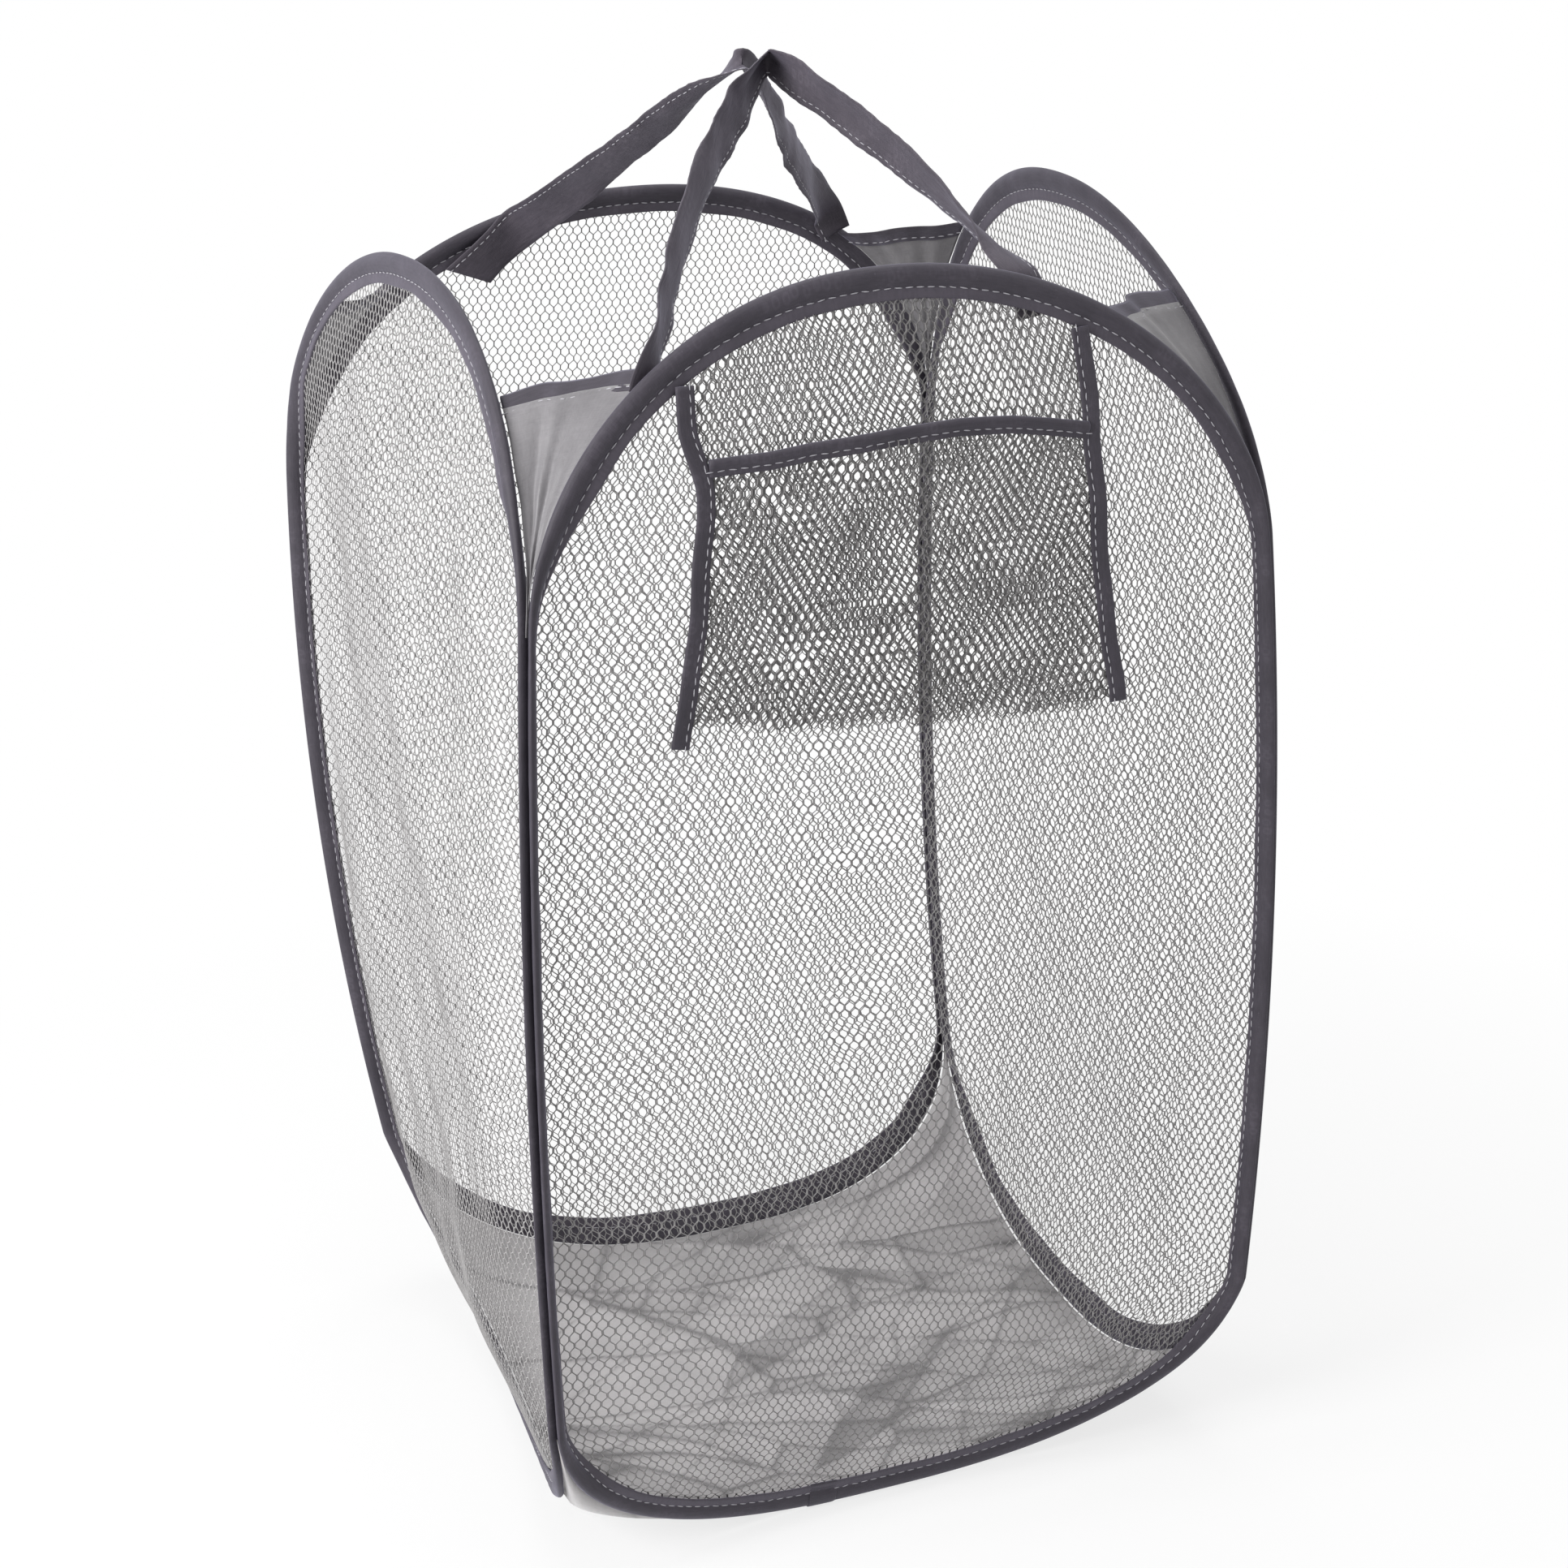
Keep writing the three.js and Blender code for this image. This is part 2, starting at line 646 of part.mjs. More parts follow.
// The cloth floor lies flat and climbs to the seams with the hoops' round bottom corners.
function addFloor() {
  const halfX = panelWidth / 2 - fitGap;
  const halfY = panelDepth / 2 - fitGap;
  const foldHeightAt = (x, y) => {
    let height = 0;
    for (const { from, to } of floorFoldShares) {
      const start = new THREE.Vector2(from[0] * halfX, from[1] * halfY);
      const along = new THREE.Vector2(to[0] * halfX, to[1] * halfY).sub(start);
      const offset = new THREE.Vector2(x, y).sub(start);
      const share = THREE.MathUtils.clamp(offset.dot(along) / along.lengthSq(), 0, 1);
      const away = offset.addScaledVector(along, -share).length() / floorFoldWidth;
      height = Math.max(height, floorFoldHeight * Math.sin(Math.PI * share) * Math.exp(-away * away));
    }
    return height;
  };
  const upper = [];
  const lower = [];
  for (let i = 0; i <= floorCellCount; i++) {
    const upperRow = [];
    const lowerRow = [];
    for (let j = 0; j <= floorCellCount; j++) {
      const x = halfX * Math.sin((Math.PI / 2) * ((2 * j) / floorCellCount - 1));
      const y = halfY * Math.sin((Math.PI / 2) * ((2 * i) / floorCellCount - 1));
      const climbX = bottomHeightAt(panelWidth, x * (panelWidth / (2 * halfX)));
      const climbY = bottomHeightAt(panelDepth, y * (panelDepth / (2 * halfY)));
      const z = (climbX * climbY) / cornerRise + foldHeightAt(x, y);
      const restZ = z < floorRestDepth ? 0 : z;
      lowerRow.push(new THREE.Vector3(x, y, restZ));
      upperRow.push(new THREE.Vector3(x, y, z + floorThickness));
    }
    upper.push(upperRow);
    lower.push(lowerRow);
  }
  addMesh(part, 'floor_cloth', slabGeometry(upper, lower), clothMaterial);
}

function addPanelGroup(x, y, turn) {
  const group = new THREE.Group();
  group.position.set(x, y, 0);
  group.rotation.z = turn;
  part.add(group);
  return group;
}

const frontGroup = addPanelGroup(0, -panelDepth / 2, 0);
const rightGroup = addPanelGroup(panelWidth / 2, 0, Math.PI / 2);
const backGroup = addPanelGroup(0, panelDepth / 2, Math.PI);
const leftGroup = addPanelGroup(-panelWidth / 2, 0, -Math.PI / 2);
addPanel(frontGroup, 'front', panelWidth);
addPanel(rightGroup, 'right', panelDepth);
addPanel(backGroup, 'back', panelWidth);
addPanel(leftGroup, 'left', panelDepth);

addBindingLap(frontGroup, 'front_binding_lap', bindingLapOffset);

addPocket(frontGroup);
addHandle(frontGroup, 'front', frontHandleLeftSetback, frontHandleRightSetback, handleApexShift);
addHandle(backGroup, 'back', backHandleLeftSetback, backHandleRightSetback, -handleApexShift);

addGusset('front_left', -1, -1);
addGusset('front_right', 1, -1);
addGusset('back_right', 1, 1);
addGusset('back_left', -1, 1);
addFloor();

export default part;
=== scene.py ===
# %% [markdown]
# A pop up laundry hamper: four sprung hoops, each filled with knitted net and bound with tape, stand
# on a cloth floor. Corner gussets join their arches, a net pocket hangs on the front and two tape
# handles meet over the mouth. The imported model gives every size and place, so this lesson starts by
# loading it and dresses each of its pieces in turn.

import json
import math

import bpy
import numpy as np
from mathutils import Matrix, Vector

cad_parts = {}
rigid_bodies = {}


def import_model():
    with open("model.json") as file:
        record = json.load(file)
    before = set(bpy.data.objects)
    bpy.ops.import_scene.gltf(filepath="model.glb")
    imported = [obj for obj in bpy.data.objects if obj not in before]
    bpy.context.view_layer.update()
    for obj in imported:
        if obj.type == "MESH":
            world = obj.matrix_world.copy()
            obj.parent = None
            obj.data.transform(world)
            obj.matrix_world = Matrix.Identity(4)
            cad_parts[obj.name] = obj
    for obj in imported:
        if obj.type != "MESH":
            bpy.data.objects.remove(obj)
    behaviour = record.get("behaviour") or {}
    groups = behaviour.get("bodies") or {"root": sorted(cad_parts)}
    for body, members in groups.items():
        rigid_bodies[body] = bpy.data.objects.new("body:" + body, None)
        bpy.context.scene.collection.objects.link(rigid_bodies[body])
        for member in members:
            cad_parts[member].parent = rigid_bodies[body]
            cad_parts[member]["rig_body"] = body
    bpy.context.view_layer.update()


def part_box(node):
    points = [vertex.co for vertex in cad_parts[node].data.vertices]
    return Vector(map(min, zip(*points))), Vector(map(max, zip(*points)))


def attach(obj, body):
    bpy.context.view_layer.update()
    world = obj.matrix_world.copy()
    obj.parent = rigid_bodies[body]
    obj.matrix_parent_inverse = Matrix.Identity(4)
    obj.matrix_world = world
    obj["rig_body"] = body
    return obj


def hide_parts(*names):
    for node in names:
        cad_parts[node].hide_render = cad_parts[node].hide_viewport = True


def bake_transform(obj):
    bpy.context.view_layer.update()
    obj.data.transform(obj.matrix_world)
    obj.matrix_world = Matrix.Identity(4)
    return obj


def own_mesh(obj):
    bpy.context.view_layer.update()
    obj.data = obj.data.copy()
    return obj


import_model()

# %% [markdown]
# All sizes are metres. The hoops' sizes repeat the model's own values, because every soft piece has
# to lie where its solid lies. The box of the front hoop's solid is printed beside the width that
# these values give.

# %% Sizes of the hoops
panel_width = 0.356
panel_depth = 0.344
panel_height = 0.605
arch_rise = 0.135
corner_rise = 0.089
arch_power = 2.15
corner_power = 2.6
seam_gap = 0.00035
binding_width = 0.015
arch_height = panel_height - arch_rise
panel_middle = -0.00284
front_low, front_high = (np.array(v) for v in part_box("front_edge_binding"))
print("front hoop from the frame", np.round(front_high - front_low, 4), "expected width",
      round(panel_width - 2 * seam_gap, 4))

# %% [markdown]
# Each panel is drawn flat, with s along the panel, n out of its plane and z up, and then turned into
# its place. One small table holds the turn, the place and the width of the four panels.
#
# Along a corner seam two panels' tapes are sewn face to face, so there each tape is pressed thin and
# turned inwards into the corner. From outside only its tube shows, and the net starts close to it.

# %% Places of the four panels
PANELS = {
    "front": (0.0, (0.0, -panel_depth / 2), panel_width),
    "right": (math.pi / 2, (panel_width / 2, 0.0), panel_depth),
    "back": (math.pi, (0.0, panel_depth / 2), panel_width),
    "left": (-math.pi / 2, (-panel_width / 2, 0.0), panel_depth),
}


def smooth_step(x):
    x = np.clip(x, 0, 1)
    return x * x * (3 - 2 * x)


def in_seam(z):
    """How far the tapes are turned at a height: from 0 at the foot and the arch to 1 between."""
    return smooth_step((z - 0.045) / 0.05) * smooth_step((0.53 - z) / 0.07)


def turned_in(width, s, n, z):
    """Turn the border of a flat panel inwards along its two corner seams."""
    amount = in_seam(z)
    low = np.clip(1 - z / corner_rise, 0, 1)
    high = np.clip((z - arch_height) / arch_rise, 0, 1)
    half = (1 - low ** corner_power) ** (1 / corner_power) * (1 - high ** arch_power) ** (1 / arch_power)
    inset = (width / 2 - seam_gap) * half - np.abs(s)
    tape = np.minimum(inset, binding_width)
    folded = np.where(tape < 0.01, 0.75 * tape, 0.0075 + 0.3 * (tape - 0.01))
    along = tape + amount * (folded - tape)
    off = (n - panel_middle) * (1 - 0.4 * amount)
    angle = amount * math.radians(58)
    inner = 0.00025 * amount + along * np.cos(angle) - off * np.sin(angle)
    deep = panel_middle - 0.0004 * amount + along * np.sin(angle) + off * np.cos(angle)
    beyond = np.clip((inset - binding_width) / 0.065, 0, 1)
    fade = (1 - beyond) ** 2 * (1 + 2 * beyond)
    return s - np.sign(s) * fade * (inner - tape), n + fade * (deep - n)


def to_room(panel, s, n, z):
    """Points of a flat panel in the room: n is 0 on the inner face and negative outside."""
    turn, (x0, y0), width = PANELS[panel]
    s, n, z = np.broadcast_arrays(np.asarray(s, float), n, z)
    s, n = turned_in(width, s, n, z)
    x = s * math.cos(turn) - n * math.sin(turn) + x0
    y = s * math.sin(turn) + n * math.cos(turn) + y0
    return np.stack([x, y, z], axis=-1)


print("foot of the front panel's middle", to_room("front", 0, panel_middle, 0))

# %% [markdown]
# A real hamper doesn't stand dead straight. The floor cloth draws the hoops' bottoms in, the arches
# lean a little over the mouth, and the corner seams bow, because the sprung wires push against each
# other. One function bends every soft piece alike, so that what is sewn together stays together.

# %% How the cloth settles
DRAWN_IN = {"left": 0.0196, "right": 0.0139, "front": 0.0325, "back": 0.0313}
LEANS_IN = {"left": 0.0071, "right": 0.0119, "front": 0.0129, "back": 0.0007}
RISES = {"left": -0.005, "right": 0.0095, "front": 0.0006, "back": -0.0049}
# How far each corner seam stands to the right of its true place and behind it, at its foot, its
# middle and its top.
SEAM_BOWS = {
    "front_left": ((-0.0011, -0.0007), (-0.0016, 0.0016), (0.0171, 0.0058)),
    "front_right": ((-0.0139, -0.0023), (0.0074, 0), (-0.0175, -0.0046)),
    "back_right": ((0.003, 0.0005), (-0.0152, -0.0001), (0.0042, 0.0107)),
    "back_left": ((0.0236, -0.0032), (-0.0155, 0.0018), (-0.0042, -0.005)),
}


def settle(points):
    """Draw in the feet, lean and raise the arches and bow the corner seams."""
    points = np.array(points, float)
    x, y, z = points[..., 0], points[..., 1], points[..., 2]
    low = np.clip(1 - z / corner_rise, 0, 1) ** 1.2
    high = np.clip((z - arch_height) / arch_rise, 0, 1) ** 1.5
    pull = {side: DRAWN_IN[side] * low + LEANS_IN[side] * high for side in PANELS}
    across = x / panel_width + 0.5
    along = y / panel_depth + 0.5
    beside = {"left": 1 - 2 * across, "right": 2 * across - 1,
              "front": 1 - 2 * along, "back": 2 * along - 1}
    beside = {side: np.clip(near, 0, 1) ** 4 for side, near in beside.items()}
    total = sum(beside.values()) + 0.02
    share = np.clip(z / panel_height, 0, 1)
    foot, middle, top = (1 - share) * (1 - 2 * share), 4 * share * (1 - share), share * (2 * share - 1)
    near = {"front_left": (1 - across) * (1 - along), "front_right": across * (1 - along),
            "back_right": across * along, "back_left": (1 - across) * along}
    bows = [sum(near[corner] * (foot * low_bow[k] + middle * mid_bow[k] + top * top_bow[k])
                for corner, (low_bow, mid_bow, top_bow) in SEAM_BOWS.items()) for k in (0, 1)]
    points[..., 0] = x + bows[0] + pull["left"] * (1 - across) - pull["right"] * across
    points[..., 1] = y + bows[1] + pull["front"] * (1 - along) - pull["back"] * along
    points[..., 2] = z + high * sum(RISES[side] * beside[side] for side in PANELS) / total
    return points


print("foot of the front panel's middle, settled", settle(to_room("front", 0, panel_middle, 0)))

# %% [markdown]
# The camera stands where the photograph was taken from: a fit to the hoops' outlines gave its place,
# its aim, a slight roll and the focal length in pixels of a square frame.

# %% Camera
frame_pixels = 1932
focal_pixels = 3527.2
camera_place = Vector((-0.48857, -1.26711, 0.79859))
camera_aim = Vector((0.00634, -0.0001, 0.32202))
camera_roll = -0.0289
ahead = (camera_aim - camera_place).normalized()
right = ahead.cross(Vector((0, 0, 1))).normalized()
up = right.cross(ahead)
rolled_right = math.cos(camera_roll) * right + math.sin(camera_roll) * up
rolled_up = -math.sin(camera_roll) * right + math.cos(camera_roll) * up
camera_data = bpy.data.cameras.new("camera")
camera_data.sensor_width = 36
camera_data.lens = 36 * focal_pixels / frame_pixels
camera = bpy.data.objects.new("camera", camera_data)
turn = Matrix((rolled_right, rolled_up, -ahead)).transposed().to_4x4()
camera.matrix_world = Matrix.Translation(camera_place) @ turn
bpy.context.scene.collection.objects.link(camera)
bpy.context.scene.camera = camera
print("lens", round(camera_data.lens, 1))

# %% [markdown]
# Many finishes here are woven, so their materials read a UV map in metres: along the piece and across
# it. Small helpers keep the node trees short to write.


# %% Node helpers
def connect(tree, value, socket):
    """Feed a socket from another socket, from a node's first output or with a constant."""
    if isinstance(value, bpy.types.Node):
        value = value.outputs[0]
    if isinstance(value, bpy.types.NodeSocket):
        tree.links.new(value, socket)
    else:
        socket.default_value = value


def add(tree, kind, inputs=None, **settings):
    """A node with its settings made and its inputs fed."""
    made = tree.nodes.new(kind)
    for name, value in settings.items():
        setattr(made, name, value)
    for name, value in (inputs or {}).items():
        connect(tree, value, made.inputs[name])
    return made


def fresh_tree(owner):
    """The empty node tree of a new material or world."""
    owner.use_nodes = True
    owner.node_tree.nodes.clear()
    return owner.node_tree


def new_material(name, colour):
    """A material with a principled shader, and the place of a point on its object."""
    material = bpy.data.materials.new(name)
    material.diffuse_color = (*colour, 1)
    tree = fresh_tree(material)
    shader = add(tree, "ShaderNodeBsdfPrincipled")
    add(tree, "ShaderNodeOutputMaterial", {"Surface": shader})
    return material, tree, shader, add(tree, "ShaderNodeTexCoord").outputs["Object"]


def scaled(tree, vector, *scale):
    """A texture vector stretched by a scale on each axis."""
    return add(tree, "ShaderNodeMapping", {"Vector": vector, "Scale": scale})


def noise(tree, vector, scale, detail=2.0, roughness=0.5, distortion=0.0):
    return add(tree, "ShaderNodeTexNoise", {
        "Vector": vector, "Scale": scale, "Detail": detail, "Roughness": roughness,
        "Distortion": distortion,
    })


def ramp(tree, fac, low, high, start=0.0, end=1.0):
    """Fac spread from low to high, between a start and an end."""
    return add(tree, "ShaderNodeMapRange", {
        "Value": fac, "From Min": start, "From Max": end, "To Min": low, "To Max": high,
    })


def calculate(tree, operation, a, b=0.0):
    return add(tree, "ShaderNodeMath", {0: a, 1: b}, operation=operation)


def weighted(tree, *terms):
    """The sum of some values, each times its weight."""
    products = [calculate(tree, "MULTIPLY", value, weight) for value, weight in terms]
    total = products[0]
    for product in products[1:]:
        total = calculate(tree, "ADD", total, product)
    return total


def attribute(tree, name):
    return add(tree, "ShaderNodeAttribute", attribute_name=name).outputs["Fac"]


def tinted(tree, fac, dark, light):
    """A colour between a dark and a light one."""
    made = add(tree, "ShaderNodeMix", {"Factor": fac}, data_type="RGBA")
    for name, colour in (("A", dark), ("B", light)):
        socket = next(s for s in made.inputs if s.name == name and s.type == "RGBA")
        socket.default_value = (*colour, 1)
    return next(s for s in made.outputs if s.type == "RGBA")


def bump(tree, height, distance, strength=1.0, **under):
    """A bump normal, over another one where that is given as Normal."""
    return add(tree, "ShaderNodeBump",
               {"Height": height, "Distance": distance, "Strength": strength, **under})


def finish(tree, shader, colour, normal, roughness, **others):
    """Connect a shader. Other inputs are named with low lines for spaces."""
    inputs = {"Base Color": colour, "Normal": normal, "Roughness": roughness}
    inputs.update({name.replace("_", " "): value for name, value in others.items()})
    for name, value in inputs.items():
        connect(tree, value, shader.inputs[name])


print("materials so far", len(bpy.data.materials))

# %% [markdown]
# The binding, the pocket's tapes and the handles are one slate coloured polyester tape. Its weave is
# finer than a pixel, so what shows is a soft sheen, slanting pull wrinkles, paler worn patches and
# specks of lint. Here and there the net's cells press through the thin tape as faint rings. On a
# binding the flat flange is painted lighter than the round tube, painted light and shade on one tape.
# A plain weave from two wave textures gives close views something to hold.


# %% Tape finish
def tape_material(name, dark, light, wrinkle=0.0006):
    material, tree, shader, place = new_material(name, light)
    spot = add(tree, "ShaderNodeUVMap", uv_map="tape")
    patches = noise(tree, place, 38.0, 4.0, 0.6)
    fibres = noise(tree, scaled(tree, spot, 150.0, 900.0, 1.0), 1.0, 3.0, 0.7)
    lint = ramp(tree, noise(tree, place, 900.0, 1.0, 0.4), 0.0, 1.0, 0.73, 0.8)
    cells = add(tree, "ShaderNodeTexVoronoi", {
        "Vector": scaled(tree, spot, 212.0, 165.0, 1.0), "Scale": 1.0, "Randomness": 0.25,
    })
    off_ring = calculate(tree, "ABSOLUTE", calculate(tree, "SUBTRACT", cells, 0.3))
    ring = calculate(tree, "SUBTRACT", 1.0, ramp(tree, off_ring, 0.0, 1.0, 0.04, 0.15))
    ring = calculate(tree, "MULTIPLY", ring, ramp(tree, patches, 0.0, 1.0, 0.48, 0.62))
    # The hem mark makes the flat flange lighter than the round tube: painted light and shade on one tape.
    shade = weighted(tree, (fibres, 0.45), (patches, 0.6), (ring, 0.16), (lint, 0.35),
                     (attribute(tree, "hem"), 0.3))
    weave, weft = [add(tree, "ShaderNodeTexWave", {
        "Vector": scaled(tree, spot, 1.0, 1.0, 1.0), "Scale": 330.0, "Distortion": 0.4,
    }, bands_direction=way).outputs["Fac"] for way in "XY"]
    pulls = noise(tree, scaled(tree, spot, 55.0, 190.0, 1.0), 1.0, 3.0, 0.55, 0.6)
    finish(tree, shader, tinted(tree, ramp(tree, shade, 0.0, 1.0, 0.25, 0.95), dark, light),
           bump(tree, calculate(tree, "MULTIPLY", weave, weft), 0.00006, 0.5,
                Normal=bump(tree, pulls, wrinkle, 0.55)),
           ramp(tree, patches, 0.54, 0.72), Sheen_Weight=0.22, Sheen_Roughness=0.45,
           Sheen_Tint=(0.8, 0.78, 1.0, 1), Specular_IOR_Level=0.32)
    return material


tape_finish = tape_material("slate_tape", (0.022, 0.019, 0.0255), (0.074, 0.065, 0.082))
strap_finish = tape_material("slate_webbing", (0.03, 0.025, 0.034), (0.098, 0.085, 0.104), 0.0012)
print("tape finishes", tape_finish.name, strap_finish.name)

# %% [markdown]
# The net is knitted from a bright grey yarn. Every hole's rim lies lower than the crest of the strand
# and takes less light. The rim is stored on the mesh as an attribute, and the colour reads it to paint
# shade there, darker towards each hole's rim.


# %% Yarn, thread, cloth and steel finishes
def yarn_material(name, dark, light):
    material, tree, shader, place = new_material(name, light)
    fuzz = noise(tree, place, 700.0, 2.0, 0.6)
    clouds = noise(tree, place, 22.0, 3.0, 0.5)
    # Painted shade: the colour darkens towards each hole's rim, which dips and takes less light.
    shade = ramp(tree, attribute(tree, "rim"), 1.0, 0.25)
    shade = calculate(tree, "MULTIPLY", shade, ramp(tree, fuzz, 0.55, 1.15, 0.3, 0.7))
    shade = calculate(tree, "MULTIPLY", shade, ramp(tree, clouds, 0.82, 1.1, 0.3, 0.7))
    finish(tree, shader, tinted(tree, shade, dark, light), bump(tree, fuzz, 0.0002, 0.6), 0.55,
           Sheen_Weight=0.15, Specular_IOR_Level=0.35)
    return material


def thread_material(name, colour):
    material, tree, shader, place = new_material(name, colour)
    twist = noise(tree, place, 1600.0, 2.0, 0.6)
    finish(tree, shader, tinted(tree, twist, [0.6 * c for c in colour], colour),
           bump(tree, twist, 0.0001, 0.5), 0.5)
    return material


def cloth_material(name, dark, light, painted_folds=False):
    material, tree, shader, place = new_material(name, light)
    spot = add(tree, "ShaderNodeUVMap", uv_map="tape")
    clouds = noise(tree, place, 26.0, 4.0, 0.55)
    weave = calculate(tree, "ADD", *[noise(tree, scaled(tree, spot, *pace), 1.0, 2.0, 0.6)
                                     for pace in ((2200.0, 260.0, 1.0), (260.0, 2200.0, 1.0))])
    shade = ramp(tree, weighted(tree, (clouds, 0.7), (weave, 0.22)), 0.0, 1.0, 0.35, 0.8)
    # The floor reads its painted fold shading: darker crease lines and lighter or darker facets.
    if painted_folds:
        shade = weighted(tree, (attribute(tree, "tone"), 1.0), (shade, 0.3))
    crush = noise(tree, place, 160.0, 3.0, 0.5, 0.8)
    finish(tree, shader, tinted(tree, shade, dark, light),
           bump(tree, weave, 0.00008, 0.5, Normal=bump(tree, crush, 0.0008, 0.4)), 0.48,
           Sheen_Weight=0.35, Sheen_Roughness=0.35, Specular_IOR_Level=0.4)
    return material


def steel_material(name):
    material, tree, shader, place = new_material(name, (0.55, 0.55, 0.57))
    drawn = noise(tree, place, 420.0, 3.0, 0.6)
    finish(tree, shader, tinted(tree, drawn, (0.38, 0.38, 0.4), (0.62, 0.62, 0.64)),
           bump(tree, drawn, 0.00005, 0.4), ramp(tree, drawn, 0.28, 0.5), Metallic=1.0)
    return material


net_finish = yarn_material("grey_net", (0.06, 0.057, 0.058), (0.36, 0.35, 0.35))
pocket_finish = yarn_material("pocket_net", (0.04, 0.037, 0.038), (0.22, 0.212, 0.212))
thread_finish = thread_material("seam_thread", (0.5, 0.49, 0.53))
gusset_finish = cloth_material("grey_gusset_cloth", (0.115, 0.11, 0.117), (0.215, 0.207, 0.217))
floor_finish = cloth_material("grey_cloth", (0.09, 0.086, 0.089), (0.56, 0.54, 0.545), painted_folds=True)
steel_finish = steel_material("spring_wire")
print("finishes", len(bpy.data.materials))

# %% [markdown]
# Most pieces are skins over rings of points: a ring is the piece's section at one station, and the
# stations follow its path. The helper joins the rings, closes the ends where it must, writes the UV
# map in metres and turns a closed skin so that its faces look outwards.


# %% Skins over rings
def distances(points):
    """How far along a line of points each one lies."""
    return np.concatenate([[0], np.cumsum(np.linalg.norm(np.diff(points, axis=0), axis=1))])


def closed(points):
    """The points of a line with the first one again at the end."""
    return np.concatenate([points, points[:1]])


def new_object(name, mesh, material):
    made = bpy.data.objects.new(name, mesh)
    bpy.context.scene.collection.objects.link(made)
    mesh.materials.append(material)
    return made


def skin(name, rings, material, closed_path=False, closed_ring=True):
    """A mesh over rings, shaped (stations, points of a ring, 3). With open rings it is one layer."""
    rings = np.asarray(rings, float)
    count, sides, _ = rings.shape
    path_steps = count if closed_path else count - 1
    ring_steps = sides if closed_ring else sides - 1
    i, j = np.meshgrid(np.arange(path_steps), np.arange(ring_steps), indexing="ij")
    i, j = i.ravel(), j.ravel()
    next_i, next_j = (i + 1) % count, (j + 1) % sides
    faces = np.stack([i * sides + j, i * sides + next_j, next_i * sides + next_j,
                      next_i * sides + j], axis=1)
    along = distances(closed(rings.mean(axis=1)))
    across = distances(closed(rings[count // 2]))
    uv = np.stack([
        np.stack([along[i], across[j]], 1), np.stack([along[i], across[j + 1]], 1),
        np.stack([along[i + 1], across[j + 1]], 1), np.stack([along[i + 1], across[j]], 1),
    ], axis=1)
    points = rings.reshape(-1, 3)
    face_list = faces.tolist()
    uv_list = uv.reshape(-1, 2)
    if closed_ring and not closed_path:
        face_list.append(list(range(sides - 1, -1, -1)))
        face_list.append([(count - 1) * sides + k for k in range(sides)])
        uv_list = np.vstack([uv_list, np.zeros((2 * sides, 2))])
    if closed_ring:
        a, b, c, d = (points[faces[:, k]] for k in range(4))
        volume = np.einsum("ij,ij->i", a, np.cross(b, c) + np.cross(c, d)).sum()
        if volume < 0:
            ends = np.cumsum([len(face) for face in face_list])[:-1]
            uv_list = np.vstack([corners[::-1] for corners in np.split(uv_list, ends)])
            face_list = [face[::-1] for face in face_list]
    mesh = bpy.data.meshes.new(name)
    mesh.from_pydata(points.tolist(), [], face_list)
    layer = mesh.uv_layers.new(name="tape")
    layer.data.foreach_set("uv", np.asarray(uv_list, float).ravel())
    mesh.polygons.foreach_set("use_smooth", [True] * len(mesh.polygons))
    mesh.update()
    return new_object(name, mesh, material)


print("a closed square is", distances(closed(np.eye(4)[:, :2]))[-1], "round")

# %% [markdown]
# A finished piece hides the solids of the model that it stands for, and it moves with the body that
# carries it. One layer of cloth gets its thickness from a modifier, and the result is kept as a plain
# mesh, so that nothing is left to evaluate later.


# %% Finished pieces
def store(obj, name, values):
    """Keep a number for each point, which a material reads by its name."""
    obj.data.attributes.new(name, "FLOAT", "POINT").data.foreach_set("value", values)


def dress(piece, body, slot, *nodes):
    """Let a finished piece stand for its solids, and move with its body."""
    if nodes:
        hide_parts(*nodes)
    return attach(piece, body)


def thicken(obj, thickness):
    """Give a single layer its thickness with Solidify, and keep the result as a plain mesh."""
    modifier = obj.modifiers.new("thickness", "SOLIDIFY")
    modifier.thickness = thickness
    modifier.offset = 0
    return finished(obj)


def finished(obj):
    """The evaluated object as a plain mesh, with its modifiers removed."""
    shown = obj.evaluated_get(bpy.context.evaluated_depsgraph_get())
    mesh = bpy.data.meshes.new_from_object(shown)
    mesh.name = obj.name
    old = obj.data
    obj.modifiers.clear()
    obj.data = mesh
    bpy.data.meshes.remove(old)
    return obj


# %% [markdown]
# Cloth is never quite even. Two helpers add up a few waves with seeded random shifts, one along a
# line and one over a surface, and so the same unevenness comes back at every run.


# %% Uneven lines and surfaces
def wander(places, length, seed, waves=6, start=1):
    """A smooth random line from -1 to 1 that closes over the given length."""
    random = np.random.default_rng(seed)
    total = np.zeros_like(places, float)
    weight = 0.0
    for k in range(start, start + waves):
        size = 1 / math.sqrt(k)
        total += size * np.cos(2 * math.pi * k * places / length + random.uniform(0, 6.3))
        weight += size * size
    return total / math.sqrt(2 * weight)


def ripples(x, y, wavelength, seed, waves=7):
    """A smooth random surface from about -1 to 1, of waves in all directions."""
    random = np.random.default_rng(seed)
    total = np.zeros(np.broadcast(x, y).shape)
    for _ in range(waves):
        angle = random.uniform(0, math.pi)
        pace = 2 * math.pi / (wavelength * random.uniform(0.7, 1.6))
        shift = random.uniform(0, 6.3)
        total = total + np.cos(pace * (x * math.cos(angle) + y * math.sin(angle)) + shift)
    return total / math.sqrt(waves)


print("one uneven line", wander(np.linspace(0, 1, 5), 1, 1).round(2))

